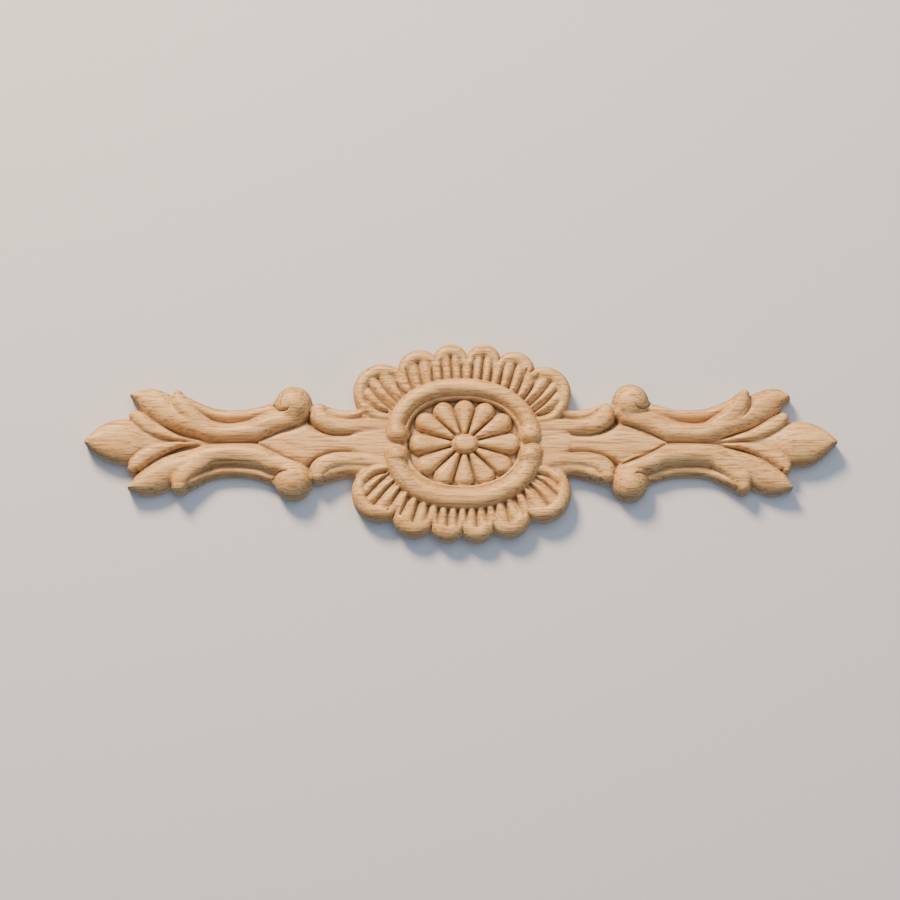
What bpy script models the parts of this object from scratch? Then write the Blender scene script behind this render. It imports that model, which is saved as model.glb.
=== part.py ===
"""Carved crest applique: one board of pale hardwood, carved as a long symmetrical onlay.

The carving is laid out in millimetres on its back plane: x runs along the length, y runs up and z is the
relief, out from the wall. Every form is a separate solid on that plane, one Boolean joins them all, and
an empty stands the plane upright, so the finished piece has its back on Y = 0 and faces -Y.
"""

import math

import bmesh
import bpy
import numpy as np

MM = 0.001

# The board and the depth at which the separate forms end, below the back that is cut flat.
BED = 4.0
ROSETTE_FLOOR = 4.8
FLOOR_RADII = (34.5, 30.5)
ROOT = -1.5
ROOT_STEP = 0.015
CUT_SIZE = (340.0, 110.0, 8.0)
END_TURNS = (10.0, 48.0)

# The medallion: a C-ring of two arcs round a rosette of twelve petals.
MEDALLION_X = 1.05
RING_A = 26.6
RING_B = 22.5
RING_HALF = 3.4
RING_SWELL = 0.9
RING_TOP = 11.5
RING_GAP = 9.0
RING_BALL = 4.7
RING_BALL_X = 25.6
RING_BALL_Y = 4.2
RING_BALL_TOP = 12.4
RING_MEET = -0.5
BALL_FOOT = 5.0
BUTTON_AT = (MEDALLION_X + 0.4, -0.3)
BUTTON_A = 5.3
BUTTON_B = 4.1
BUTTON_TOP = 10.8
BUTTON_FOOT = 6.0
PETAL_X = MEDALLION_X + 0.3
PETAL_A = 18.5
PETAL_B = 14.3
PETAL_TOP = 8.9
PETAL_FOOT = 4.6
PETAL_START = (3.0, 2.2, 0.9)
PETAL_DROP = 0.6
PETAL_TURNS = (0.0, 34.5, 61.5, 90.0)
PETAL_HALF = (4.5, 4.4, 4.1, 4.0)

# The two scalloped shells: a fan of reeds round the ring, closed by six arched lobes.
# Each lobe, from the middle outward: middle of the pair, half spacing, distance from the centre, radius.
UPPER_LOBES = ((2.35, 6.5, 33.0, 7.3), (2.1, 19.2, 29.4, 8.1), (0.8, 32.2, 20.2, 11.1))
LOWER_LOBES = ((0.65, 6.2, 32.5, 7.2), (0.7, 19.3, 29.6, 8.2), (0.1, 32.7, 20.1, 11.3))
UPPER_TURN = 2.3
LOWER_TURN = -1.1
REED_TURN = 7.1
REED_START = (29.0, 24.0)
REED_HALF = 2.0
REED_TOP = 8.4
REED_STOP = 4.2
REED_SLIM = 0.2
LEG_HALF = 2.3
LEG_TOP = 8.9
LEG_REACH = 1.09
MIDDLE_LEG_Y = 34.2
# The outermost leg: where it bends, counted from the lobe's centre, the turn where it meets the rim, and
# its three half widths.
OUTER_LEG_BEND = (5.0, 9.4)
OUTER_LEG_TURN = 118.0
OUTER_LEG_HALF = (1.7, 1.9, 2.3)
FAN_FOOT = 6.2
RIM_HALF = 2.8
RIM_TOP = 9.6
RIM_FOOT = 6.4
RIM_REACH = (-100.0, 96.0)
OUTER_RIM_REACH = (-92.0, 78.0)
LOBE_BED = 6.5
BED_INSET = 1.0
# Which turns of the fan are reeds of a lobe, the leg beyond it, and where the reeds end inside the lobe.
LOBE_REEDS = ((1, 2), (4, 5), (7, 8, 9))
LOBE_LEGS = (3, 6, 10)
LOBE_TILT = (11.0, 36.0, 62.0)
REED_SPREAD = (48.0, 40.0, 45.0)

# The forms of one quarter, as stations along their crest: x, y, half width, top.
BALL = (67.0, 15.7, 7.25, 12.4)
SCROLL = (
    (63.5, 12.5, 3.6, 9.4), (68.0, 9.6, 4.8, 9.9), (75.0, 8.2, 5.1, 10.0), (91.0, 4.5, 4.7, 10.0),
    (104.0, 6.5, 5.3, 9.8), (115.0, 11.9, 6.2, 9.2), (121.0, 15.2, 6.0, 9.1), (126.5, 17.4, 4.6, 9.0),
    (132.0, 19.0, 0.6, 8.4),
)
STRIP = (
    (71.0, 15.4, 2.6, 4.4), (81.0, 12.6, 2.0, 4.2), (91.0, 11.0, 2.1, 4.0), (100.0, 12.2, 2.1, 4.4),
    (109.0, 17.2, 1.8, 6.0),
)
BLADE = ((99.0, 8.6, 1.6, 6.6), (106.0, 11.4, 3.8, 9.4), (111.0, 15.0, 4.4, 10.2), (113.3, 20.4, 1.2, 9.6))
SEPAL = (
    (104.0, 0.8, 0.6, 6.6), (112.0, 2.3, 1.5, 7.6), (120.0, 4.7, 3.0, 8.4), (126.5, 8.3, 3.6, 8.8),
    (130.4, 12.2, 2.0, 8.6),
)
SIDE_LEAF = (
    (28.0, 7.2, 2.6, 8.3), (38.0, 6.8, 2.9, 8.8), (46.0, 6.5, 3.3, 9.2), (53.0, 7.8, 3.9, 9.8),
    (57.6, 10.8, 4.0, 10.0), (58.6, 15.6, 1.6, 9.4),
)
SIDE_STRIP = ((35.0, 11.2, 1.4, 7.0), (45.0, 11.2, 2.1, 7.4), (52.0, 12.3, 1.9, 7.4), (57.0, 15.2, 0.8, 7.8))
# The forms on the long axis, which mirror left to right only.
BUD = (
    (114.0, 0.4, 2.0, 7.2), (122.0, 0.4, 5.6, 9.0), (132.0, 0.5, 8.4, 9.8), (141.0, 0.5, 7.0, 9.8),
    (150.0, 0.4, 0.5, 8.8),
)
NECK = (
    (28.0, 0.0, 6.8, 7.2), (38.0, 0.0, 4.6, 7.2), (46.0, 0.0, 3.2, 7.2), (51.0, 0.0, 3.2, 7.2),
    (57.0, -0.1, 5.6, 7.2), (62.6, -0.2, 8.4, 7.2), (71.0, -0.1, 5.4, 7.0), (80.6, 0.0, 0.5, 6.4),
)
# The flat ground along the axis, between the scrolls and under the leaves, and round the balls.
KEEL = ((38.0, 0.3, 5.0, 3.8), (124.0, 0.3, 5.0, 3.8))
KEEL_FOOT = 3.4
WEB_X = 62.0
WEB_RADII = (12.0, 13.0)
WEB_TOP = 3.0
STRIP_FOOT = 2.2
BLADE_FOOT = 5.0


def wood():
    """Bare, lightly sanded pale hardwood."""
    material = bpy.data.materials.new("bare_wood")
    material.use_nodes = True
    shader = material.node_tree.nodes["Principled BSDF"]
    shader.inputs["Base Color"].default_value = (0.73, 0.46, 0.25, 1.0)
    shader.inputs["Roughness"].default_value = 0.62
    shader.inputs["Metallic"].default_value = 0.0
    return material


def through(controls, curved=True):
    """A dense path through the control stations: a Catmull-Rom curve, or straight from one to the next."""
    knots = np.array(controls, float)
    if not curved:
        return knots
    ends = np.vstack([2 * knots[0] - knots[1], knots, 2 * knots[-1] - knots[-2]])
    t = np.linspace(0, 1, 12, endpoint=False)[:, None]
    spans = [
        0.5 * (2 * b + (c - a) * t + (2 * a - 5 * b + 4 * c - d) * t**2 + (3 * b - a - 3 * c + d) * t**3)
        for a, b, c, d in zip(ends, ends[1:], ends[2:], ends[3:])
    ]
    return np.vstack([*spans, knots[-1:]])


def spaced(path, steps, finish):
    """Stations along a path, closer together on a rounded finish, where the form also sinks and narrows."""
    runs = np.concatenate([[0.0], np.cumsum(np.hypot(*np.diff(path[:, :2], axis=0).T))])
    rise = np.radians(END_TURNS)
    tail = runs[-1] - finish * (1 - np.cos(rise[::-1])) if finish else np.array([])
    places = np.concatenate([np.linspace(0, runs[-1] - finish, steps + 1), tail])
    stations = np.column_stack([np.interp(places, runs, column) for column in path.T])
    swell = np.ones(len(places))
    if finish:
        swell[-len(rise) :] = np.sin(rise[::-1])
    return stations, swell


class Carving:
    """Makes the separate forms of the relief, each a closed solid in its own object."""

    def __init__(self, collection, stand, material):
        self.collection = collection
        self.stand = stand
        self.material = material

    def root(self):
        """The depth at which the next form ends: no two share a plane."""
        return ROOT - ROOT_STEP * len(self.collection.objects)

    def add(self, name, mesh):
        """Puts a finished mesh among the forms, hidden from the render."""
        mesh.materials.append(self.material)
        form = bpy.data.objects.new(name, mesh)
        form.parent = self.stand
        form.hide_render = True
        form.display_type = "WIRE"
        self.collection.objects.link(form)
        return form

    def ridge(self, name, controls, foot, steps, across=5, finish=0.0, curved=True, full=0.7):
        """A domed ridge lofted along its stations, on upright sides down to the root.

        The section is half a superellipse: a full of 1 is round, and less is a flatter top with fuller sides.
        """
        stations, swell = spaced(through(controls, curved), steps, finish)
        along = np.gradient(stations[:, :2], axis=0)
        along /= np.linalg.norm(along, axis=1)[:, None]
        side = np.column_stack([-along[:, 1], along[:, 0]])
        turn = np.linspace(0, math.pi, across + 1)
        out = np.sign(np.cos(turn)) * np.abs(np.cos(turn)) ** full
        up = np.sin(turn).clip(0) ** full
        half = stations[:, 2] * swell
        rings = np.empty((len(stations), across + 3, 3))
        rings[:, :-2, :2] = stations[:, None, :2] + side[:, None] * (half[:, None] * out)[..., None]
        rings[:, :-2, 2] = foot + ((stations[:, 3] - foot) * swell)[:, None] * up
        rings[:, -2, :2] = rings[:, -3, :2]
        rings[:, -1, :2] = rings[:, 0, :2]
        rings[:, -2:, 2] = self.root()
        return self.add(name, loft(name, rings * MM))

    def dome(self, name, centre, radii, foot, top, segments=20, rings=5):
        """A half ball on an upright drum, round or oval."""
        rise = np.linspace(0, math.pi / 2, rings, endpoint=False)
        out = np.concatenate([[1.0], np.cos(rise)])
        level = np.concatenate([[self.root()], foot + (top - foot) * np.sin(rise)])
        turn = np.arange(segments) * math.tau / segments
        loops = np.empty((len(out), segments, 3))
        loops[..., 0] = centre[0] + radii[0] * out[:, None] * np.cos(turn)
        loops[..., 1] = centre[1] + radii[1] * out[:, None] * np.sin(turn)
        loops[..., 2] = level[:, None]
        return self.add(name, loft(name, loops * MM, peak=(centre[0] * MM, centre[1] * MM, top * MM)))

    def drum(self, name, centre, radii, top, segments=32):
        """A flat oval plate."""
        mesh = bpy.data.meshes.new(name)
        body = bmesh.new()
        root = self.root()
        bmesh.ops.create_cone(body, cap_ends=True, segments=segments, radius1=1, radius2=1, depth=1)
        bmesh.ops.scale(body, vec=(radii[0] * MM, radii[1] * MM, (top - root) * MM), verts=body.verts)
        middle = (centre[0] * MM, centre[1] * MM, (top + root) / 2 * MM)
        bmesh.ops.translate(body, vec=middle, verts=body.verts)
        body.to_mesh(mesh)
        body.free()
        return self.add(name, mesh)


def loft(name, loops, peak=None):
    """A closed mesh through loops of equal length, with flat ends or a peak over the last loop."""
    mesh = bpy.data.meshes.new(name)
    body = bmesh.new()
    rows = [[body.verts.new(point) for point in loop] for loop in loops]
    count = len(rows[0])
    for low, high in zip(rows, rows[1:]):
        for i in range(count):
            j = (i + 1) % count
            body.faces.new((low[i], low[j], high[j], high[i]))
    body.faces.new(rows[0][::-1])
    if peak is None:
        body.faces.new(rows[-1])
    else:
        tip = body.verts.new(peak)
        for i in range(count):
            body.faces.new((rows[-1][i], rows[-1][(i + 1) % count], tip))
    bmesh.ops.recalc_face_normals(body, faces=body.faces)
    body.to_mesh(mesh)
    body.free()
    return mesh


def on_ring(turn, a, b):
    """The point of an oval about the medallion, at a turn in degrees from the top."""
    return MEDALLION_X + a * math.sin(math.radians(turn)), b * math.cos(math.radians(turn))


def mirrored(controls, side, rise):
    """The same stations in another quarter."""
    return [(x * side, y * rise, half, top) for x, y, half, top in controls]


def medallion(carving):
    """The ring, its four end balls, the petals and the button."""
    for rise, label in ((1, "upper"), (-1, "lower")):
        turns = np.linspace(RING_GAP - 90, 90 - RING_GAP, 19)
        arc = []
        for turn in turns:
            x, y = on_ring(turn, RING_A, RING_B)
            half = RING_HALF + RING_SWELL * abs(turn) / 90
            arc.append((x, y * rise + RING_MEET * abs(turn) / 90, half, RING_TOP))
        carving.ridge(f"ring_{label}", arc, BED, steps=18, across=6, curved=False)
        for side, hand in ((-1, "left"), (1, "right")):
            centre = (MEDALLION_X + RING_BALL_X * side, RING_BALL_Y * rise + RING_MEET)
            name = f"ring_ball_{label}_{hand}"
            carving.dome(name, centre, (RING_BALL, RING_BALL), BALL_FOOT, RING_BALL_TOP, 12, 3)
    petals(carving)


def petals(carving):
    """Twelve teardrop petals from the button out to an oval, and the button over their points."""
    quarter = list(zip(PETAL_TURNS, PETAL_HALF))
    turns = []
    for turn, half in quarter:
        turns += [(turn, half), (180 - turn, half), (180 + turn, half), (360 - turn, half)]
    start_a, start_b, start_half = PETAL_START
    for i, (turn, half) in enumerate(sorted(set((turn % 360, half) for turn, half in turns))):
        run, climb = math.cos(math.radians(turn)), math.sin(math.radians(turn))
        x, y = PETAL_X + PETAL_A * run, PETAL_B * climb
        start = (PETAL_X + start_a * run, start_b * climb, start_half, PETAL_TOP - PETAL_DROP)
        reach = math.hypot(x - start[0], y - start[1])
        end = (x + (x - start[0]) / reach * half, y + (y - start[1]) / reach * half, half, PETAL_TOP)
        controls = [start, (x, y, half, PETAL_TOP), end]
        carving.ridge(f"petal_{i + 1:02d}", controls, PETAL_FOOT, 2, finish=half, curved=False, full=0.55)
    carving.dome("button", BUTTON_AT, (BUTTON_A, BUTTON_B), BUTTON_FOOT, BUTTON_TOP, 16, 3)


def shell(carving, label, rise, lobes, fan_turn):
    """One scalloped shell: the lobes' beds and arched rims, the reeds and the legs between the lobes."""

    def fan_point(step):
        x, y = on_ring(fan_turn + step * REED_TURN, *REED_START)
        return x, y * rise

    middle_leg = [(*fan_point(0), LEG_HALF, LEG_TOP), (lobes[0][0], MIDDLE_LEG_Y * rise, LEG_HALF, LEG_TOP)]
    carving.ridge(f"{label}_leg_0", middle_leg, FAN_FOOT, 1, across=4)
    for side, hand in ((-1, "left"), (1, "right")):
        for i, (middle, spacing, height, radius) in enumerate(lobes):
            centre = (middle + side * spacing, height * rise)
            name = f"{label}_{hand}_{i + 1}"
            carving.drum(f"{name}_bed", centre, (radius - BED_INSET, radius - BED_INSET), LOBE_BED, 14)
            reach = OUTER_RIM_REACH if i == 2 else RIM_REACH
            rim(carving, name, centre, radius, side, rise, LOBE_TILT[i], reach)
            reeds(carving, name, centre, radius, side, rise, i, fan_point)
            leg(carving, name, centre, radius, side, rise, i, lobes, fan_point)


def polar(centre, radius, turn, side, rise):
    """A point at a turn in degrees from straight out, leaning towards the end of the carving."""
    angle = math.radians(turn)
    return centre[0] + side * radius * math.sin(angle), centre[1] + rise * radius * math.cos(angle)


def rim(carving, name, centre, radius, side, rise, tilt, reach):
    """The arched rim of a lobe, which reaches so many degrees to either side of its tilt."""
    arc = []
    for turn in np.linspace(tilt + reach[0], tilt + reach[1], 9):
        arc.append((*polar(centre, radius - RIM_HALF, turn, side, rise), RIM_HALF, RIM_TOP))
    carving.ridge(f"{name}_rim", arc, RIM_FOOT, steps=8, across=4, curved=False)


def reeds(carving, name, centre, radius, side, rise, lobe, fan_point):
    """The reeds that run from under the ring to the inside of a lobe's rim."""
    count = len(LOBE_REEDS[lobe])
    for k, step in enumerate(LOBE_REEDS[lobe]):
        spread = (2 * k - count + 1) / (count - 1) * REED_SPREAD[lobe]
        end = polar(centre, radius - REED_STOP, LOBE_TILT[lobe] + spread, side, rise)
        controls = [(*fan_point(side * step), REED_HALF - REED_SLIM, REED_TOP), (*end, REED_HALF, REED_TOP)]
        carving.ridge(f"{name}_reed_{k + 1}", controls, FAN_FOOT, 1, across=4, finish=REED_HALF)


def leg(carving, name, centre, radius, side, rise, lobe, lobes, fan_point):
    """The leg beyond a lobe: between two lobes, or the outer end of the shell curling to the neck."""
    start = fan_point(side * LOBE_LEGS[lobe])
    if lobe < 2:
        other = lobes[lobe + 1]
        end = (
            (centre[0] + other[0] + side * other[1]) / 2 * LEG_REACH,
            (centre[1] + other[2] * rise) / 2 * LEG_REACH,
        )
        controls = [(*start, LEG_HALF, LEG_TOP), (*end, LEG_HALF, LEG_TOP)]
        carving.ridge(f"{name}_leg", controls, FAN_FOOT, 1, across=4)
        return
    out, down = OUTER_LEG_BEND
    bend = (centre[0] + side * out, centre[1] - rise * down)
    end = polar(centre, radius - RIM_HALF, OUTER_LEG_TURN, side, rise)
    near, middle, far = OUTER_LEG_HALF
    controls = [(*start, near, REED_TOP), (*bend, middle, LEG_TOP), (*end, far, RIM_TOP)]
    carving.ridge(f"{name}_leg", controls, FAN_FOOT, 4, across=4)


def quarter(carving, label, side, rise):
    """The scroll, its ball and the leaves of one quarter."""
    x, y, radius, top = BALL
    carving.ridge(f"{label}_scroll", mirrored(SCROLL, side, rise), BED, 13, across=6)
    carving.ridge(f"{label}_strip", mirrored(STRIP, side, rise), STRIP_FOOT, 7, across=3)
    carving.ridge(f"{label}_blade", mirrored(BLADE, side, rise), BLADE_FOOT, 6, across=5)
    carving.ridge(f"{label}_sepal", mirrored(SEPAL, side, rise), BED, 6)
    carving.ridge(f"{label}_side_leaf", mirrored(SIDE_LEAF, side, rise), BED, 8)
    carving.ridge(f"{label}_side_strip", mirrored(SIDE_STRIP, side, rise), BED, 5, across=3)
    carving.dome(f"{label}_ball", (x * side, y * rise), (radius, radius), BALL_FOOT, top, 18, 4)


def crest():
    """The whole applique, joined and cut flat at the back."""
    material = wood()
    parts = bpy.data.collections.new("carved_crest_applique")
    forms = bpy.data.collections.new("carving_forms")
    cutters = bpy.data.collections.new("cutters")
    for collection in (parts, forms, cutters):
        bpy.context.scene.collection.children.link(collection)
    stand = bpy.data.objects.new("stand_upright", None)
    stand.rotation_euler.x = math.radians(90)
    parts.objects.link(stand)

    carving = Carving(forms, stand, material)
    medallion(carving)
    shell(carving, "upper", 1, UPPER_LOBES, UPPER_TURN)
    shell(carving, "lower", -1, LOWER_LOBES, LOWER_TURN)
    for side, hand in ((-1, "left"), (1, "right")):
        for rise, row in ((1, "upper"), (-1, "lower")):
            quarter(carving, f"{row}_{hand}", side, rise)
        carving.ridge(f"bud_{hand}", mirrored(BUD, side, 1), BED, 8, across=8)
        carving.ridge(f"neck_{hand}", mirrored(NECK, side, 1), BED, 10, across=4, curved=False, full=0.5)
        carving.drum(f"web_{hand}", (side * WEB_X, 0.0), WEB_RADII, WEB_TOP, 20)
        carving.ridge(f"keel_{hand}", mirrored(KEEL, side, 1), KEEL_FOOT, 1, across=2, curved=False)
    body = carving.drum("carved_crest", (MEDALLION_X, 0.0), FLOOR_RADII, ROSETTE_FLOOR, 32)
    forms.objects.unlink(body)
    parts.objects.link(body)
    body.hide_render = False
    body.display_type = "TEXTURED"

    join = body.modifiers.new("join_forms", "BOOLEAN")
    join.operation = "UNION"
    join.operand_type = "COLLECTION"
    join.collection = forms
    join.solver = "EXACT"

    bpy.ops.mesh.primitive_cube_add(size=1)
    back = bpy.context.object
    back.name = "back_cut"
    back.parent = stand
    back.scale = [size * MM for size in CUT_SIZE]
    back.location.z = -CUT_SIZE[2] / 2 * MM
    back.hide_render = True
    back.display_type = "WIRE"
    for collection in list(back.users_collection):
        collection.objects.unlink(back)
    cutters.objects.link(back)
    flat = body.modifiers.new("flat_back", "BOOLEAN")
    flat.operation = "DIFFERENCE"
    flat.object = back
    flat.solver = "EXACT"


def main():
    """Clears the scene and models the applique."""
    for old in list(bpy.data.objects):
        bpy.data.objects.remove(old)
    crest()


main()
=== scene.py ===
"""Dresses the carved crest applique: the finished relief, its bare wood and a plain studio.

Everything is laid out in millimetres on the back plane of the piece: x runs along its length, y runs up and z
is the relief, out from the wall. The finished mesh stands upright, its back on Y = 0 and its carving to -Y.
"""

import logging
import math
from dataclasses import dataclass, field
from enum import Enum
from typing import ClassVar, Iterator, Protocol, TypeVar

import bmesh
import bpy
import numpy as np
from mathutils import Matrix, Vector


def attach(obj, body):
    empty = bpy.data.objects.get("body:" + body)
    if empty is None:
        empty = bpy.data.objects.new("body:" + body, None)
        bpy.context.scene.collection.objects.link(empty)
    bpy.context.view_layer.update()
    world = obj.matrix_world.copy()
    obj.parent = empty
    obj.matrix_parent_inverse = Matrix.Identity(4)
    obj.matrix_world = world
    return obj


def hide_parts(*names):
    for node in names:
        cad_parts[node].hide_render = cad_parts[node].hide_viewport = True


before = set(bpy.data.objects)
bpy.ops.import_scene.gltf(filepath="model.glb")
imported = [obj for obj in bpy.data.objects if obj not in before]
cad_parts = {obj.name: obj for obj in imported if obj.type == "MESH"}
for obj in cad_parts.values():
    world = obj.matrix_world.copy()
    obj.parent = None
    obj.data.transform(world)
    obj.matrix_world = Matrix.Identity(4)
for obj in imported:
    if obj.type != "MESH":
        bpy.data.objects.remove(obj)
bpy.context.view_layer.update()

log = logging.getLogger("crest")

MM = 0.001
TINY_LENGTH = 1e-9
TINY_SHARE = 1e-3
Array = np.ndarray
Pair = tuple[float, float]
Station = tuple[float, float, float, float]
Stations = tuple[Station, ...]
Value = TypeVar("Value")


class Side(Enum):
    """The two ends of the applique."""

    LEFT = -1
    RIGHT = 1


class Row(Enum):
    """The two halves above and below the long axis."""

    UPPER = 1
    LOWER = -1


Corner = tuple[Side, Row]


def by_side(left: Value, right: Value) -> dict[Side, Value]:
    """A field with a value for each end."""
    return field(default_factory=lambda: {Side.LEFT: left, Side.RIGHT: right})


def by_row(upper: Value, lower: Value) -> dict[Row, Value]:
    """A field with a value for each half."""
    return field(default_factory=lambda: {Row.UPPER: upper, Row.LOWER: lower})


def by_corner(*values: Value) -> dict[Corner, Value]:
    """A field with a value for each quarter: upper left, upper right, lower left and lower right."""
    corners = [(side, row) for row in Row for side in Side]
    return field(default_factory=lambda: dict(zip(corners, values)))


# ------------------------------------------------------------------------------------------------------------
# Curves and sections


def through(stations: Array, spans: int = 7) -> Array:
    """Threads a smooth path through stations.

    A Catmull-Rom curve: each span is a cubic, whose slope at a station is half the step between the station's
    neighbours.

    Args:
        stations: Rows of x, y and further values, which are smoothed alike.
        spans: Points for each span.

    Returns:
        The rows of the dense path.
    """
    ends = np.vstack([2 * stations[0] - stations[1], stations, 2 * stations[-1] - stations[-2]])
    t = np.linspace(0, 1, spans, endpoint=False)[None, :, None]
    a, b, c, d = (ends[i : len(ends) - 3 + i, None] for i in range(4))
    cubic = (3 * b - a - 3 * c + d) * t**3
    curve = 0.5 * (2 * b + (c - a) * t + (2 * a - 5 * b + 4 * c - d) * t**2 + cubic)
    return np.vstack([curve.reshape(-1, stations.shape[1]), stations[-1:]])


def bulge(out: Array, power: float, root: float, edge: float = 0.93) -> Array:
    """Height of a rounded flank, 1 on the crest and about 0 at the foot.

    The share of the height is (1 - out^power)^(1/root), which is a circle for 2 and 2; past the edge it goes on
    straight down at the slope that it has there, so that a form stays smooth beyond its own foot.

    Args:
        out: Distance from the crest as a share of the half width.
        power: A higher power gives a flatter crest.
        root: A higher root gives fuller shoulders.
        edge: Where the straight slope begins.

    Returns:
        The share of the height.
    """
    kept = np.minimum(out, edge)
    slope = power / root * edge ** (power - 1) * (1 - edge**power) ** (1 / root - 1)
    return (1 - kept**power) ** (1 / root) - slope * np.maximum(out - edge, 0)


def soften(values: Array, reach: float) -> Array:
    """Blurs values with a Gaussian bell, first along one direction and then along the other.

    Args:
        values: Values on the grid.
        reach: The bell's standard deviation, in grid steps.

    Returns:
        The blurred values.
    """
    steps = max(1, int(math.ceil(3 * reach)))
    weights = np.exp(-0.5 * (np.arange(-steps, steps + 1) / reach) ** 2)
    weights /= weights.sum()
    for axis in (0, 1):
        pads = [(steps, steps) if i == axis else (0, 0) for i in (0, 1)]
        wide = np.pad(values, pads, mode="edge")
        size = values.shape[axis]
        values = sum(w * np.take(wide, np.arange(k, k + size), axis=axis) for k, w in enumerate(weights))
    return values


def numbered(chosen: Array, first: int) -> Array:
    """Numbers the chosen places of a grid, from the first number on, and gives the others -1."""
    numbers = np.full(chosen.shape, -1)
    numbers[chosen] = first + np.arange(chosen.sum())
    return numbers


def turned(side: Side, row: Row, stations: Stations | Array) -> Array:
    """The stations of the upper right quarter, mirrored into another one."""
    return np.array(stations) * (side.value, row.value, 1, 1)


def run_of(x: Array, y: Array, half: float, level: float | Array) -> Array:
    """Stations along a line, all of one half width, and with one level for all or one for each."""
    return np.column_stack([x, y, np.full(len(x), half), np.full(len(x), level)])


def nearest(x: Array, y: Array, path: Array, caps: Pair) -> tuple[Array, Array, Array]:
    """Finds the nearest place on a path for a whole grid at once.

    Each straight bit of the path is tried in turn: the point's foot on it is the projection, held between its
    two ends. Past an end of the path the distance is that of an oval cap, as long as caps times its half width.

    Args:
        x: Grid of x.
        y: Grid of y.
        path: Rows of x, y, half width and level.
        caps: Length of the cap at the start and at the end.

    Returns:
        The offset, positive to the left of the run, and the half width and the level of the nearest place.
    """
    best = np.full(x.shape, np.inf)
    offset, half, level = np.zeros(x.shape), np.ones(x.shape), np.zeros(x.shape)
    last = len(path) - 2
    for i, (start, end) in enumerate(zip(path, path[1:])):
        run = end[:2] - start[:2]
        length = math.hypot(*run)
        if length < TINY_LENGTH:
            continue
        dx, dy = x - start[0], y - start[1]
        share = (dx * run[0] + dy * run[1]) / length**2
        across = (dy * run[0] - dx * run[1]) / length
        held = share.clip(0, 1)
        over = (share - held) * length
        if i == 0:
            over = np.where(share < 0, over / caps[0], over)
        if i == last:
            over = np.where(share > 1, over / caps[1], over)
        away = over**2 + across**2
        nearer = away < best
        best = np.where(nearer, away, best)
        offset = np.where(nearer, np.copysign(np.sqrt(away), across), offset)
        half = np.where(nearer, start[2] + (end[2] - start[2]) * held, half)
        level = np.where(nearer, start[3] + (end[3] - start[3]) * held, level)
    return offset, half, level


@dataclass(frozen=True)
class Section:
    """The cross-section of a ridge, or of a dome, and how it joins the wood round it.

    Attributes:
        foot: Level of its edges.
        power: Flatness of its crest on the left and on the right of the run.
        root: Fullness of its shoulders.
        caps: Length of its rounded ends, as a share of the half width.
        blend: Size of the fillet where it meets other forms.
        lean: Where the crest lies between the edges, from -1 on the right to 1 on the left.
    """

    foot: float
    power: Pair
    root: float
    caps: Pair = (1.0, 1.0)
    blend: float = 0.35
    lean: float = 0.0


@dataclass(frozen=True)
class Gouge:
    """The cross-section of a groove: its walls rise by depth over the half width, as out to the power."""

    depth: float
    power: float
    blend: float
    caps: Pair = (1.0, 1.0)


class Form(Protocol):
    """A shape of the relief that can be measured anywhere on the back plane, with the fillet that it takes."""

    blend: float

    def window(self) -> tuple[float, float, float, float]:
        """The lowest and highest x and the lowest and highest y that it can reach."""

    def measure(self, x: Array, y: Array) -> tuple[Array, Array]:
        """Measures the form at the points of a grid.

        Args:
            x: Grid of x.
            y: Grid of y.

        Returns:
            Its height at each point, and how far the point is inside its footprint.
        """


@dataclass(frozen=True)
class Along:
    """A form that follows a run of stations of x, y, half width and level.

    Attributes:
        stations: The run of its middle line.
        section: Its cross-section.
        curved: Whether the run is smooth or goes straight from one station to the next.
        hand: -1 where the run is a mirror image, so that left and right change places.
    """

    stations: Array
    section: Section | Gouge
    curved: bool = True
    hand: int = 1
    margin: ClassVar[float] = 2.5

    @property
    def blend(self) -> float:
        """The fillet of its section."""
        return self.section.blend

    def path(self) -> Array:
        """The dense run."""
        return through(self.stations) if self.curved else self.stations

    def window(self) -> tuple[float, float, float, float]:
        """The reach of the run, its half width and a margin.

        Returns:
            The lowest and highest x and the lowest and highest y.
        """
        path = self.path()
        reach = path[:, 2].max() * max(1.0, *self.section.caps) + self.margin
        low, high = path[:, :2].min(0) - reach, path[:, :2].max(0) + reach
        return low[0], high[0], low[1], high[1]


class Ridge(Along):
    """A rounded ridge, whose stations give its top."""

    section: Section

    def measure(self, x: Array, y: Array) -> tuple[Array, Array]:
        """Foot plus the bulge of the offset from the crest, counted in shares of that flank's width.

        Args:
            x: Grid of x.
            y: Grid of y.

        Returns:
            The height, and the distance inside the footprint.
        """
        offset, half, level = nearest(x, y, self.path(), self.section.caps)
        out, lean, foot = offset * self.hand / half, self.section.lean, self.section.foot
        left = out > lean
        flank = np.where(left, (out - lean) / (1 - lean), (lean - out) / (1 + lean))
        share = np.where(left, *(bulge(flank, power, self.section.root) for power in self.section.power))
        return foot + (level - foot) * share, half - np.abs(offset)


class Groove(Along):
    """A groove, whose stations give its floor."""

    section: Gouge
    margin: ClassVar[float] = 1.5

    def measure(self, x: Array, y: Array) -> tuple[Array, Array]:
        """Floor plus depth times the offset, in half widths, to the gouge's power.

        Args:
            x: Grid of x.
            y: Grid of y.

        Returns:
            The height, and the distance inside the footprint.
        """
        offset, half, level = nearest(x, y, self.path(), self.section.caps)
        out = np.abs(offset) / half
        return level + self.section.depth * out**self.section.power, half - np.abs(offset)


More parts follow.
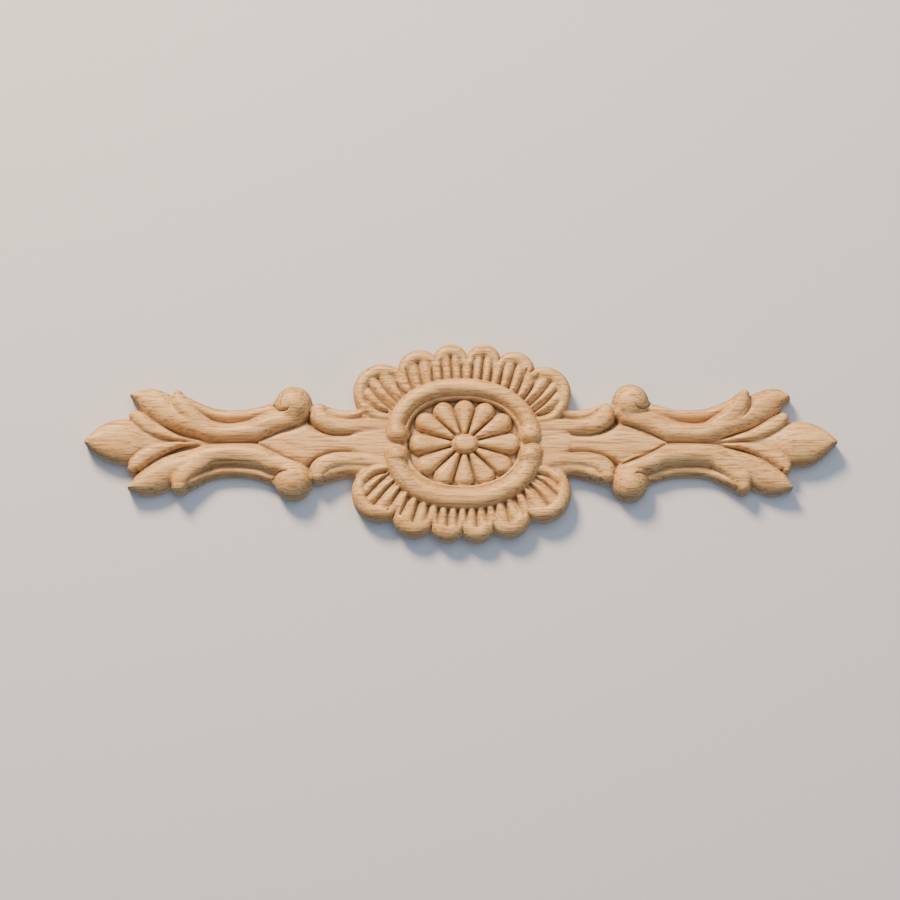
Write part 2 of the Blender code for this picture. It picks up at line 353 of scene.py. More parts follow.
@dataclass(frozen=True)
class Oval:
    """A form round a centre, with two radii."""

    centre: Pair
    radii: Pair
    top: float
    margin: ClassVar[float] = 2.5

    def window(self) -> tuple[float, float, float, float]:
        """The radii and a margin.

        Returns:
            The lowest and highest x and the lowest and highest y.
        """
        (x, y), (a, b), more = self.centre, self.radii, self.margin
        return x - a - more, x + a + more, y - b - more, y + b + more

    def out(self, x: Array, y: Array) -> Array:
        """Distance from the centre, in radii."""
        return np.hypot((x - self.centre[0]) / self.radii[0], (y - self.centre[1]) / self.radii[1])


@dataclass(frozen=True)
class Plate(Oval):
    """A flat oval ground, with a slope of 2 in 1 beyond its edge."""

    blend: float = 0.35

    def measure(self, x: Array, y: Array) -> tuple[Array, Array]:
        """The top, less twice the distance beyond the edge.

        Args:
            x: Grid of x.
            y: Grid of y.

        Returns:
            The height, and the distance inside the footprint.
        """
        inside = (1 - self.out(x, y)) * min(self.radii)
        return self.top + 2 * np.minimum(inside, 0), inside


@dataclass(frozen=True)
class Dome(Oval):
    """A round or oval dome."""

    section: Section

    @property
    def blend(self) -> float:
        """The fillet of its section."""
        return self.section.blend

    def measure(self, x: Array, y: Array) -> tuple[Array, Array]:
        """Foot plus the bulge of the distance in radii.

        Args:
            x: Grid of x.
            y: Grid of y.

        Returns:
            The height, and the distance inside the footprint.
        """
        out, foot = self.out(x, y), self.section.foot
        share = bulge(out, self.section.power[0], self.section.root)
        return foot + (self.top - foot) * share, (1 - out) * min(self.radii)


# ------------------------------------------------------------------------------------------------------------
# The relief


@dataclass
class Relief:
    """The carving as heights over a fine grid on its back plane.

    Attributes:
        pitch: Step of the grid on which the forms are worked out.
        half_length: Half the length of the grid.
        half_height: Half the height of the grid.
        step: How many fine steps make one step of the mesh.
        empty: Height and inside of the grid before anything is on it, well below any form.
        lowest: The thinnest that the carving may get.
        touch: A corner of the mesh's squares that is closer to the outline than this counts as inside.
        edge_blur: Softening of all edges by the carver's sanding, standard deviation.
        wall_rows: Rows of faces down the outline's wall.
        marks: The sizes, as standard deviations, of the broad hollows and of the fine cuts, painted darker as
            shade.
    """

    pitch: float = 0.195
    half_length: float = 151.62
    half_height: float = 41.8
    step: int = 2
    empty: float = -9.0
    lowest: float = 0.5
    touch: float = 1e-4
    edge_blur: float = 0.14
    wall_rows: int = 4
    marks: dict[str, float] = field(default_factory=lambda: {"hollow": 1.3, "cut": 0.5})
    x: Array = field(init=False)
    y: Array = field(init=False)
    height: Array = field(init=False)
    inside: Array = field(init=False)

    def __post_init__(self) -> None:
        """Lays out the grid, with nothing on it."""
        self.x = np.arange(-self.half_length, self.half_length, self.pitch)
        self.y = np.arange(-self.half_height, self.half_height, self.pitch)
        self.height = np.full((len(self.y), len(self.x)), self.empty)
        self.inside = self.height.copy()

    def measured(self, form: Form) -> tuple[tuple[slice, slice], Array, Array]:
        """Measures a form over the part of the grid that it can reach.

        Args:
            form: The form.

        Returns:
            That part of the grid, and the form's height and inside there.
        """
        x0, x1, y0, y1 = form.window()
        rows = slice(*np.searchsorted(self.y, (y0, y1)))
        columns = slice(*np.searchsorted(self.x, (x0, x1)))
        return (rows, columns), *form.measure(*np.meshgrid(self.x[columns], self.y[rows]))

    @staticmethod
    def fillet(one: Array, two: Array, blend: float) -> Array:
        """What fills the corner of two surfaces that are close: (blend - difference)^2 / (4 blend)."""
        return np.maximum(blend - np.abs(one - two), 0) ** 2 / (4 * blend)

    def add(self, form: Form) -> None:
        """Joins a form to the relief: the higher of the two surfaces wins, plus the fillet.

        Args:
            form: The form.
        """
        place, height, inside = self.measured(form)
        old = self.height[place]
        self.height[place] = np.maximum(old, height) + self.fillet(old, height, form.blend)
        self.inside[place] = np.maximum(self.inside[place], inside)

    def join(self, other: "Relief", blend: float) -> None:
        """Joins forms that were put together on a relief of their own, with one fillet for all of them.

        Args:
            other: The relief that they are on.
            blend: Size of the fillet.
        """
        fillet = self.fillet(self.height, other.height, blend)
        fillet[other.height < 0] = 0
        self.height = np.maximum(self.height, other.height) + fillet
        self.inside = np.maximum(self.inside, other.inside)

    def carve(self, form: Form) -> None:
        """Cuts a groove: the lower surface wins, less the fillet.

        Args:
            form: The groove.
        """
        place, height, _ = self.measured(form)
        old = self.height[place]
        self.height[place] = np.minimum(old, height) - self.fillet(old, height, form.blend)

    def depth(self, height: Array, size: float) -> Array:
        """How far each point lies below the average surface round it, out to a size, fading to nothing at the
        outline; the material paints shade by it.

        Args:
            height: The height over the grid.
            size: The standard deviation of the average.

        Returns:
            The depth of each point, negative where it stands proud.
        """
        own = (self.inside > 0).astype(float)
        reach = size / self.pitch
        depth = soften(height * own, reach) / np.maximum(soften(own, reach), TINY_SHARE) - height
        return depth * (self.inside / size).clip(0, 1)

    def sample(self, values: Array, x: Array, y: Array) -> Array:
        """Values at any points, straight between the four grid points round each.

        Args:
            values: Layers of values over the grid.
            x: The points' x.
            y: The points' y.

        Returns:
            A row of values for each point.
        """
        column = (x - self.x[0]) / self.pitch
        row = (y - self.y[0]) / self.pitch
        i = np.minimum(row.astype(int), len(self.y) - 2)
        j = np.minimum(column.astype(int), len(self.x) - 2)
        v, u = (row - i)[:, None], (column - j)[:, None]
        low = values[i, j] * (1 - u) + values[i, j + 1] * u
        high = values[i + 1, j] * (1 - u) + values[i + 1, j + 1] * u
        return low * (1 - v) + high * v

    def crossings(self, far: Array, layers: Array, axis: int) -> tuple[Array, Array]:
        """Finds where the outline crosses the sides of the mesh's squares that run one way.

        From corner to corner the distance inside the outline changes evenly, and it is 0 at the crossing.

        Args:
            far: How far each corner is inside the outline.
            layers: The height and the depth of each mark over the fine grid.
            axis: 1 for the level sides and 0 for the upright ones.

        Returns:
            The x, y and layers of the crossings, and which sides have one.
        """
        near, other = (far[:, :-1], far[:, 1:]) if axis else (far[:-1], far[1:])
        cut = (near > 0) != (other > 0)
        rows, columns = np.nonzero(cut)
        share = near[cut] / (near[cut] - other[cut])
        x = self.x[:: self.step][columns] + (share * self.step * self.pitch if axis else 0)
        y = self.y[:: self.step][rows] + (0 if axis else share * self.step * self.pitch)
        return np.column_stack([x, y, self.sample(layers, x, y)]), cut

    @staticmethod
    def polygons(corners: Array, level: Array, upright: Array) -> tuple[list[list[int]], Array]:
        """Makes a polygon of every square of the mesh.

        It has the square's inside corners and the crossings on its sides, in order round the square. A side
        that joins two crossings belongs to the outline.

        Args:
            corners: The point number of every corner, or -1 for one outside.
            level: The point number of the crossing on every level side, or -1.
            upright: The same for every upright side.

        Returns:
            The polygons, and the two point numbers of each side of the outline.
        """
        square = (corners[:-1, :-1], corners[:-1, 1:], corners[1:, 1:], corners[1:, :-1])
        sides = (level[:-1], upright[:, 1:], level[1:], upright[:, :-1])
        ring = np.stack([each for pair in zip(square, sides) for each in pair], axis=-1).reshape(-1, 8)
        filled = (ring >= 0).sum(1)
        faces: list[list[int]] = []
        edges = []
        for count in range(3, 7):
            chosen = ring[filled == count]
            polygon = chosen[chosen >= 0].reshape(-1, count)
            faces += polygon.tolist()
            after = np.roll(polygon, -1, axis=1)
            outer = np.minimum(polygon, after) > corners.max()
            edges.append(np.column_stack([polygon[outer], after[outer]]))
        return faces, np.vstack(edges)

    def wall(self, top: Array, edge: Array) -> tuple[Array, list[list[int]]]:
        """Carries the outline straight back, in equal rows.

        Args:
            top: The points of the carved face.
            edge: The two point numbers of each side of the outline.

        Returns:
            The points of the face and of the wall, and the wall's faces.
        """
        rim = np.unique(edge)
        first, second = np.searchsorted(rim, edge).T
        points, rings = [top], [rim]
        for row in range(1, self.wall_rows + 1):
            rings.append(len(top) + (row - 1) * len(rim) + np.arange(len(rim)))
            points.append(top[rim] * (1, 1, 1 - row / self.wall_rows, *(0,) * len(self.marks)))
        faces: list[list[int]] = []
        for above, below in zip(rings, rings[1:]):
            faces += np.column_stack([above[second], above[first], below[first], below[second]]).tolist()
        return np.vstack(points), faces

    def mesh(self, name: str) -> bpy.types.Mesh:
        """Makes the closed mesh: the carved face, the wall of the outline and the flat back.

        Args:
            name: Name of the mesh.

        Returns:
            The mesh, in metres, standing upright.
        """
        height = soften(np.maximum(self.height, self.lowest), self.edge_blur / self.pitch)
        layers = np.stack([height, *(self.depth(height, size) for size in self.marks.values())], axis=-1)
        mesh_grid = slice(None, None, self.step)
        far = self.inside[mesh_grid, mesh_grid]
        far = np.where(np.abs(far) < self.touch, self.touch, far)
        own = far > 0
        rows, columns = np.nonzero(own)
        corners = [self.x[mesh_grid][columns], self.y[mesh_grid][rows], layers[mesh_grid, mesh_grid][own]]
        points, count, ids = [np.column_stack(corners)], own.sum(), [numbered(own, 0)]
        for axis in (1, 0):
            found, cut = self.crossings(far, layers, axis)
            points.append(found)
            ids.append(numbered(cut, count))
            count += len(found)
        faces, edge = self.polygons(*ids)
        local, wall = self.wall(np.vstack(points), edge)
        return self.close(name, local, faces + wall)

    def close(self, name: str, local: Array, faces: list[list[int]]) -> bpy.types.Mesh:
        """Stands the surface upright and fills its back with one flat face.

        Args:
            name: Name of the mesh.
            local: Points in the carving's own frame, in millimetres, with the depth of each mark.
            faces: Point numbers of each face.

        Returns:
            The closed mesh.
        """
        mesh = bpy.data.meshes.new(name)
        mesh.from_pydata(np.column_stack([local[:, 0], -local[:, 2], local[:, 1]]) * MM, [], faces)
        # The depth of each mark goes on as an attribute, by which the material paints shade in the hollows and
        # cuts.
        for k, mark in enumerate(self.marks, 3):
            values = np.ascontiguousarray(local[:, k], dtype=np.float32)
            mesh.attributes.new(mark, "FLOAT", "POINT").data.foreach_set("value", values)
        body = bmesh.new()
        body.from_mesh(mesh)
        for polygon in body.faces:
            polygon.smooth = True
        open_edges = [side for side in body.edges if side.is_boundary]
        back = bmesh.ops.holes_fill(body, edges=open_edges, sides=0)["faces"]
        for polygon in back:
            polygon.smooth = False
            for side in polygon.edges:
                side.smooth = False
        bmesh.ops.recalc_face_normals(body, faces=body.faces)
        log.info("outline loops: %d, triangles: %d", len(back), sum(len(f.verts) - 2 for f in body.faces))
        body.to_mesh(mesh)
        body.free()
        return mesh


# ------------------------------------------------------------------------------------------------------------
# The sub-assemblies of the carving


@dataclass(frozen=True)
class Medallion:
    """The C-ring of two arcs with ball ends, the lip inside it, twelve petals and the button.

    Attributes:
        x: Its centre on the long axis.
        floor: Level of its ground, an oval with the floor radii.
        fullness: How full its ovals are in each quarter: 2 is an ellipse.
        moat: Radii of the sunk ground round the tips of the petals; its floor is given above and below.
        ring: Half the length and half the height of each arc, and its half width.
        ring_gap: The turn between the end of an arc and the long axis, in degrees.
        ring_meet: How far the ends of both arcs are moved up, or down where it is below 0.
        shelf: Radii of the low step inside the ring.
        lip: Radii of the thin edge inside the ring.
        flower: Where the petals' centre lies from the medallion's own.
        petal: Radii of the oval on which the petals end; they start on another one, narrower and lower.
        petal_turns: The petals of one quarter, by their turn from the right in degrees.
        petal_cut: Share of the petals' oval, half width and floor of both ends of the cut between two petals.
        button_at: Where the button's centre lies from the medallion's own.
        ball_at: Where the balls' centres lie from the medallion's own.
        hook: x, y and floor of the groove that curls into a ball, from the medallion's centre.
    """

    x: float = 1.05
    floor: float = 6.2
    floor_radii: Pair = (37.5, 32.5)
    fullness: dict[Corner, float] = by_corner(2.5, 2.15, 2.3, 2.15)
    moat: Pair = (20.2, 15.9)
    moat_half: float = 3.2
    moat_floor: Pair = (4.2, 5.3)
    moat_gouge: Gouge = Gouge(1.0, 3.0, blend=0.3)
    ring: dict[Row, tuple[float, float, float]] = by_row((27.6, 22.4, 3.75), (27.6, 22.95, 4.3))
    ring_top: float = 11.3
    ring_gap: float = 7.0
    ring_meet: float = -0.9
    ring_points: int = 41
    ring_section: Section = Section(6.0, (2.4, 2.3), 1.8, blend=0.5)
    shelf: Pair = (24.0, 19.0)
    shelf_half: float = 1.2
    shelf_top: float = 7.8
    shelf_section: Section = Section(6.2, (4.0, 4.0), 1.6, blend=0.3)
    lip: Pair = (23.1, 18.2)
    lip_half: float = 0.75
    lip_top: float = 8.3
    lip_section: Section = Section(6.2, (2.0, 2.0), 1.6, blend=0.15)
    hoop_points: int = 49
    flower: Pair = (0.3, -0.5)
    petal: Pair = (17.9, 14.05)
    petal_turns: tuple[float, ...] = (0.0, 36.0, 63.5, 90.0)
    petal_half: tuple[float, ...] = (4.3, 4.1, 4.0, 3.95)
    petal_top: float = 9.1
    petal_start: Pair = (3.0, 2.2)
    petal_start_half: float = 0.9
    petal_start_drop: float = 0.4
    petal_section: Section = Section(4.2, (2.6, 2.6), 2.7, blend=0.1)
    petal_cut: tuple[tuple[float, float, float], ...] = ((0.3, 0.5, 5.0), (0.95, 0.4, 5.4))
    petal_gouge: Gouge = Gouge(2.4, 1.2, blend=0.1)
    button: Pair = (5.4, 4.1)
    button_at: Pair = (0.5, -0.8)
    button_top: float = 10.3
    button_section: Section = Section(5.0, (3.4, 3.4), 3.4, blend=0.15)
    button_cut_half: float = 0.5
    button_cut: Pair = (6.4, 6.4)
    button_gouge: Gouge = Gouge(2.4, 1.3, blend=0.2)
    round_points: int = 61
    ball: float = 4.6
    ball_at: Pair = (26.0, 4.3)
    ball_top: float = 12.1
    ball_section: Section = Section(4.5, (2.3, 2.3), 2.1, blend=1.8)
    hook: tuple[tuple[float, float, float], ...] = (
        (-20.8, 7.6, 7.5), (-22.4, 8.3, 9.2), (-24.1, 8.0, 10.4), (-25.2, 7.0, 11.3),
    )
    hook_half: float = 0.5
    hook_drop: float = 0.5
    hook_gouge: Gouge = Gouge(2.2, 1.2, blend=0.15)

    def oval(self, turns: Array, radii: Pair, row: Row) -> tuple[Array, Array]:
        """Half of a full oval about the medallion: |x/a|^n + |y/b|^n = 1, with n a little above 2.

        Args:
            turns: Turns from straight up or down, in degrees: -90 is the left end and 90 the right one.
            radii: Half its length and half its height.
            row: The upper or the lower half.

        Returns:
            The x and y of the points.
        """
        power = 2 / np.where(turns < 0, self.fullness[Side.LEFT, row], self.fullness[Side.RIGHT, row])
        sine, cosine = np.sin(np.radians(turns)), np.cos(np.radians(turns)).clip(0)
        x = self.x + radii[0] * np.sign(sine) * np.abs(sine) ** power
        return x, row.value * radii[1] * cosine**power

    def arc(self, row: Row) -> Ridge:
        """One arc of the ring, which sinks a little towards its ends.

        Args:
            row: The upper or the lower arc.

        Returns:
            The arc, from left to right.
        """
        turns = np.linspace(self.ring_gap - 90, 90 - self.ring_gap, self.ring_points)
        *radii, half = self.ring[row]
        x, y = self.oval(turns, radii, row)
        y = y + self.ring_meet * np.abs(turns) / 90
        return Ridge(run_of(x, y, half, self.ring_top), self.ring_section, curved=False, hand=row.value)

    def hoop(self, radii: Pair, half: float, top: float, section: Section) -> Ridge:
        """A closed oval ridge about the medallion.

        Args:
            radii: Half its length and half its height.
            half: Its half width.
            top: The level of its crest.
            section: Its cross-section.

        Returns:
            The ridge.
        """
        turns = np.linspace(-90, 90, self.hoop_points)
        (x, y), (lower_x, lower_y) = (self.oval(turns, radii, row) for row in Row)
        line = np.concatenate([x, lower_x[::-1]]), np.concatenate([y, lower_y[::-1]])
        return Ridge(run_of(*line, half, top), section, curved=False)

    def trench(self, centre: Pair, radii: Pair, half: float, floors: Pair, gouge: Gouge) -> Groove:
        """A groove round an oval: its floor goes from the first level on top to the second one below.

        Args:
            centre: Its centre.
            radii: Half its length and half its height.
            half: Its half width.
            floors: The level of its floor at the top and at the bottom of the oval.
            gouge: Its cross-section.

        Returns:
            The groove.
        """
        turns = np.radians(np.linspace(0, 360, self.round_points))
        x, y = centre[0] + radii[0] * np.sin(turns), centre[1] + radii[1] * np.cos(turns)
        floor = np.interp(np.cos(turns), (-1, 1), floors[::-1])
        return Groove(run_of(x, y, half, floor), gouge, curved=False)

    def petals(self) -> Iterator[tuple[Ridge, Groove]]:
        """Twelve teardrops, from beside the button out to an oval, each with the cut beyond it.

        Returns:
            Each petal and the cut between it and the next one.
        """
        # One quarter's petals are mirrored into the other three; a petal that two quarters share counts once.
        quarter = list(zip(self.petal_turns, self.petal_half))
        mirrors = ((0, 1), (180, -1), (180, 1), (360, -1))
        turns = sorted(
            {(round(base + sign * turn, 1) % 360, half) for turn, half in quarter for base, sign in mirrors}
        )
        for (turn, half), (after, _) in zip(turns, (*turns[1:], (turns[0][0] + 360, 0.0))):
            start, end = self.spoke(turn, self.petal_start, 1.0), self.spoke(turn, self.petal, 1.0)
            start_top = self.petal_top - self.petal_start_drop
            rows = np.array([(*start, self.petal_start_half, start_top), (*end, half, self.petal_top)])
            petal = Ridge(rows, self.petal_section, curved=False)
            between = (turn + after) / 2
            cut = [
                (*self.spoke(between, self.petal, share), half, floor)
                for share, half, floor in self.petal_cut
            ]
            yield petal, Groove(np.array(cut), self.petal_gouge, curved=False)

    def spoke(self, turn: float, radii: Pair, share: float) -> Pair:
        """A point of the flower.

        Args:
            turn: Its turn from the right, in degrees.
            radii: The oval round the flower, as full as the ring.
            share: How far out it lies, as a share of the oval.

        Returns:
            The x and y of the point.
        """
        across, up = math.cos(math.radians(turn)), math.sin(math.radians(turn))
        corner = (Side.RIGHT if across > 0 else Side.LEFT, Row.UPPER if up > 0 else Row.LOWER)
        power = self.fullness[corner]
        share /= (abs(across) ** power + abs(up) ** power) ** (1 / power)
        return self.x + self.flower[0] + radii[0] * share * across, self.flower[1] + radii[1] * share * up

    def build(self, relief: Relief) -> None:
        """Adds the medallion to the relief.

        Args:
            relief: The relief so far.
        """
        relief.add(Plate((self.x, 0), self.floor_radii, self.floor))
        relief.carve(self.trench((self.x, 0), self.moat, self.moat_half, self.moat_floor, self.moat_gouge))
        relief.add(self.hoop(self.shelf, self.shelf_half, self.shelf_top, self.shelf_section))
        relief.add(self.hoop(self.lip, self.lip_half, self.lip_top, self.lip_section))
        for row in Row:
            relief.add(self.arc(row))
        petals, cuts = zip(*self.petals())
        for petal in petals:
            relief.add(petal)
        for cut in cuts:
            relief.carve(cut)
        at = (self.x + self.button_at[0], self.button_at[1])
        relief.carve(self.trench(at, self.button, self.button_cut_half, self.button_cut, self.button_gouge))
        relief.add(Dome(at, self.button, self.button_top, self.button_section))
        for side in Side:
            for row in Row:
                at = (self.x + self.ball_at[0] * side.value, self.ball_at[1] * row.value + self.ring_meet)
                relief.add(Dome(at, (self.ball, self.ball), self.ball_top, self.ball_section))
                x, y, floor = np.array(self.hook).T
                x, y = self.x - x * side.value, y * row.value - self.hook_drop
                relief.carve(Groove(run_of(x, y, self.hook_half, floor), self.hook_gouge))


@dataclass(frozen=True)
class Lobe:
    """One arched lobe of a shell: its place, its size and how its reeds fan out to its rim.

    Attributes:
        centre: Its centre, in x and in distance from the long axis.
        radius: Its outer radius.
        tilt: The turn of the middle of its reeds, from straight out towards the end of the piece.
        spread: The turn between the middle and the outermost reed.
        steps: Which steps of the fan are its reeds; the next one is the leg beyond it.
    """

    centre: Pair
    radius: float
    tilt: float
    spread: float
    steps: tuple[int, ...]

    @property
    def outer(self) -> bool:
        """Whether it is the large lobe at the end of the shell."""
        return len(self.steps) > 2

    def turn(self, place: float) -> float:
        """The turn of a place among its reeds, counted from the first; a half is a groove."""
        count = len(self.steps)
        return self.tilt + (2 * place - count + 1) / (count - 1) * self.spread


@dataclass(frozen=True)
class Shell:
    """One scalloped shell: a fan of reeds round the ring, closed by three lobes on each side of the middle.

    Attributes:
        row: Whether it stands above or below the ring.
        lobes: Its lobes on each side, from its middle outwards.
        middle: x of its middle line beside the ring.
        legs: How far the legs stand from the middle line on each side, measured along the ring.
        apron: Centre of the ground beside each end of the ring.
        bed: Level of the ground inside the rims, which lies a little in from the lobe's outer edge.
        leg_steps: Which steps of the fan are legs.
        middle_drop: How far the middle leg ends short of the middle lobes' centres.
        last_leg: The outer end of the shell: stations by distance out and down from the outer lobe's centre.
        reed_start: The oval beside the ring on which the reeds start.
        reed_slim: Share of the room between two grooves that a reed takes up beside the ring.
        reed_more: How far a reed goes on past the ends of the grooves.
        reed_bow: How far the middle of a reed bows to the long axis, for each reed above two in its lobe.
        rim_spans: Turns of the two ends of each lobe's rim, in degrees.
        rim_taper: How many points at each end of the rim take up its thinning.
        cut_start: The oval on which the grooves start.
        cut_stop: How far from the lobe's edge its outermost grooves end, and its inner ones.
        cut_floor: Floor of the grooves beside the ring and at the rim; the outermost fade to another one.
        last_cut: The outermost groove, by distance out and down from the outer lobe's centre.
        drop: How much further down the last leg and the last groove lie in each quarter.
        notch: How far outside the notch a crease between two lobes starts, and how far inside it ends.
    """

    row: Row
    lobes: dict[Side, tuple[Lobe, ...]]
    middle: float
    legs: dict[Side, tuple[float, float, float]]
    medallion: Medallion
    fan_points: int = 361
    apron: Pair = (33.5, 13.0)
    apron_radii: Pair = (6.5, 4.0)
    apron_top: float = 7.4
    bed: float = 7.5
    bed_in: float = 1.2
    bed_blend: float = 0.15
    leg_steps: tuple[int, ...] = (0, 3, 6, 10)
    leg_half: Pair = (1.95, 2.5)
    leg_top: float = 8.9
    leg_section: Section = Section(6.0, (2.3, 2.3), 1.8, blend=0.2)
    middle_drop: float = 0.6
    middle_section: Section = Section(6.0, (2.3, 2.3), 1.8, blend=0.15)
    last_leg: Stations = (
        (-1.9, 10.15, 2.0, 8.9), (1.2, 9.6, 2.1, 8.9), (3.9, 8.35, 2.1, 9.0), (6.4, 5.9, 2.2, 9.3),
    )
    last_leg_section: Section = Section(6.0, (2.1, 2.1), 1.7, blend=0.2)
    reed_start: dict[Row, Pair] = by_row((31.8, 26.9), (32.4, 27.6))
    reed_slim: dict[Row, float] = by_row(1.0, 0.96)
    reed_top: float = 8.9
    reed_more: float = 0.4
    reed_bow: float = 0.5
    reed_section: Section = Section(6.0, (2.1, 2.1), 1.7, caps=(1.2, 0.8), blend=0.2)
    rim_spans: tuple[Pair, ...] = ((-92, 108), (-66, 130), (-48, 138))
    rim_points: int = 25
    rim_taper: int = 8
    rim_half: float = 2.9
    rim_end: float = 2.0
    rim_top: float = 9.7
    rim_section: dict[Row, Section] = by_row(
        Section(6.0, (2.2, 2.0), 1.8, blend=0.12), Section(6.0, (2.2, 2.0), 1.8, blend=0.12, lean=-0.4)
    )
    rim_blend: float = 1.2
    cut_start: Pair = (30.4, 25.8)
    cut_stop: Pair = (3.3, 5.8)
    cut_half: float = 0.6
    cut_floor: Pair = (5.6, 6.7)
    cut_fade: dict[Row, float] = by_row(8.2, 7.6)
    cut_gouge: Gouge = Gouge(1.7, 1.4, blend=0.3)
    last_cut: tuple[Pair, ...] = ((-2.1, 8.1), (1.1, 7.3), (3.8, 5.7), (5.3, 3.7))
    drop: dict[Corner, float] = by_corner(0.2, 1.0, -0.2, -0.7)
    notch: Pair = (0.8, 3.2)
    notch_half: Pair = (0.6, 0.35)
    notch_floor: Pair = (4.8, 8.4)
    notch_gouge: Gouge = Gouge(2.2, 1.2, blend=0.3)

    def fan(self, side: Side, step: float, radii: Pair | None = None) -> Pair:
        """Where a reed or groove starts beside the ring.

        The legs stand at their own distances from the shell's middle line, measured along the ring, and the
        reeds between them are evenly spaced.

        Args:
            side: The end of the piece.
            step: Its place in the fan: 0 is the middle leg, whole numbers are reeds and halves are grooves.
            radii: The oval that it starts on.

        Returns:
            The x and y of the start.
        """
        oval = radii or self.reed_start[self.row]
        x, y = self.medallion.oval(np.linspace(-90, 90, self.fan_points), oval, self.row)
        along = np.concatenate([[0], np.cumsum(np.hypot(np.diff(x), np.diff(y)))])
        away = np.interp(step, self.leg_steps, (0, *self.legs[side]))
        at = np.interp(self.middle, x, along) + side.value * away
        return float(np.interp(at, along, x)), float(np.interp(at, along, y))

    def below(self, side: Side, lobe: Lobe, out: float, down: float) -> Pair:
        """A point beside the outer lobe, counted from its centre outwards and towards the long axis.

        Args:
            side: The end of the piece.
            lobe: The lobe.
            out: The distance outwards.
            down: The distance towards the long axis.

        Returns:
            The x and y of the point.
        """
        level = lobe.centre[1] - down - self.drop[side, self.row]
        return lobe.centre[0] + side.value * out, self.row.value * level

    def on_lobe(self, side: Side, lobe: Lobe, radius: float, turn: float) -> Pair:
        """A point of a lobe, at a turn in degrees from straight out, towards the end of the piece.

        Args:
            side: The end of the piece.
            lobe: The lobe.
            radius: The distance from its centre.
            turn: The turn, in degrees.

        Returns:
            The x and y of the point.
        """
        angle = math.radians(turn)
        x = lobe.centre[0] + side.value * radius * math.sin(angle)
        return x, self.row.value * (lobe.centre[1] + radius * math.cos(angle))

    def rim(self, side: Side, lobe: Lobe, span: Pair) -> Ridge:
        """The arched rim of a lobe, which thins to the legs at both ends; its outer edge stays on the lobe.

        Args:
            side: The end of the piece.
            lobe: The lobe.
            span: The turns of its two ends, in degrees.

        Returns:
            The ridge of the rim.
        """
        places = np.arange(self.rim_points)
        share = np.minimum(places, places[::-1]).clip(0, self.rim_taper) / self.rim_taper
        points = []
        for turn, part in zip(np.linspace(*span, self.rim_points), share * share * (3 - 2 * share)):
            half = self.rim_end + (self.rim_half - self.rim_end) * part
            top = self.leg_top + (self.rim_top - self.leg_top) * part
            points.append((*self.on_lobe(side, lobe, lobe.radius - half, turn), half, top))
        hand = side.value * self.row.value
        return Ridge(np.array(points), self.rim_section[self.row], curved=False, hand=hand)

    def runs(self, side: Side, lobe: Lobe) -> list[tuple[Pair, Pair]]:
        """The start and end of every groove of a lobe: one on each side of each reed.

        Args:
            side: The end of the piece.
            lobe: The lobe.

        Returns:
            The runs, from the middle of the shell outwards.
        """
        last = len(lobe.steps)
        found = []
        for k in range(last + 1):
            stop = self.cut_stop[0 < k < last]
            end = self.on_lobe(side, lobe, lobe.radius - stop, lobe.turn(k - 0.5))
            found.append((self.fan(side, lobe.steps[0] + k - 0.5, self.cut_start), end))
        if lobe.outer:
            found[-1] = (self.below(side, lobe, *self.last_cut[0]), self.below(side, lobe, *self.last_cut[-1]))
        return found

    def reeds(self, side: Side, lobe: Lobe) -> Iterator[Ridge]:
        """The reeds of a lobe: each fills the room between two grooves, from the ring to the rim.

        Args:
            side: The end of the piece.
            lobe: The lobe.

        Returns:
            The ridges of the reeds, from the middle of the shell outwards.
        """
        runs = self.runs(side, lobe)
        for step, (start_one, end_one), (start_two, end_two) in zip(lobe.steps, runs, runs[1:]):
            start = self.fan(side, step)
            end = ((end_one[0] + end_two[0]) / 2, (end_one[1] + end_two[1]) / 2)
            longer = 1 + self.reed_more / math.dist(start, end)
            end = start[0] + (end[0] - start[0]) * longer, start[1] + (end[1] - start[1]) * longer
            thin, wide = math.dist(start_one, start_two) / 2, math.dist(end_one, end_two) / 2
            thin *= self.reed_slim[self.row]
            places = (start, self.bowed(side, lobe, start, end), end)
            rows = [(*at, half, self.reed_top) for at, half in zip(places, (thin, (thin + wide) / 2, wide))]
            yield Ridge(np.array(rows), self.reed_section)

    def bowed(self, side: Side, lobe: Lobe, start: Pair, end: Pair) -> Pair:
        """The middle of a reed or groove, moved towards the long axis where the lobe is the outer one.

        Args:
            side: The end of the piece.
            lobe: The lobe.
            start: Its start beside the ring.
            end: Its end at the rim.

        Returns:
            The x and y of the point.
        """
        bow = self.reed_bow * (len(lobe.steps) - 2)
        x, y = (start[0] + end[0]) / 2, (start[1] + end[1]) / 2
        return x + side.value * bow / 3, y - self.row.value * bow

    def cuts(self, side: Side, lobe: Lobe) -> Iterator[Groove]:
        """The cuts on both sides of each reed, deep beside the ring and shallow where they end at the rim.

        Args:
            side: The end of the piece.
            lobe: The lobe.

        Returns:
            The grooves, from the middle of the shell outwards.
        """
        deep, inner = self.cut_floor
        last = len(lobe.steps)
        for k, (start, end) in enumerate(self.runs(side, lobe)):
            points = [start, self.bowed(side, lobe, start, end), end]
            if k == last and lobe.outer:
                points = [self.below(side, lobe, *point) for point in self.last_cut]
            stop = self.cut_fade[self.row] if k in (0, last) else inner
            share = np.linspace(0, 1, len(points))
            floor = np.interp(share, (0, 0.5, 1), (deep, (deep + inner) / 2, stop))
            yield Groove(run_of(*np.transpose(points), self.cut_half, floor), self.cut_gouge)

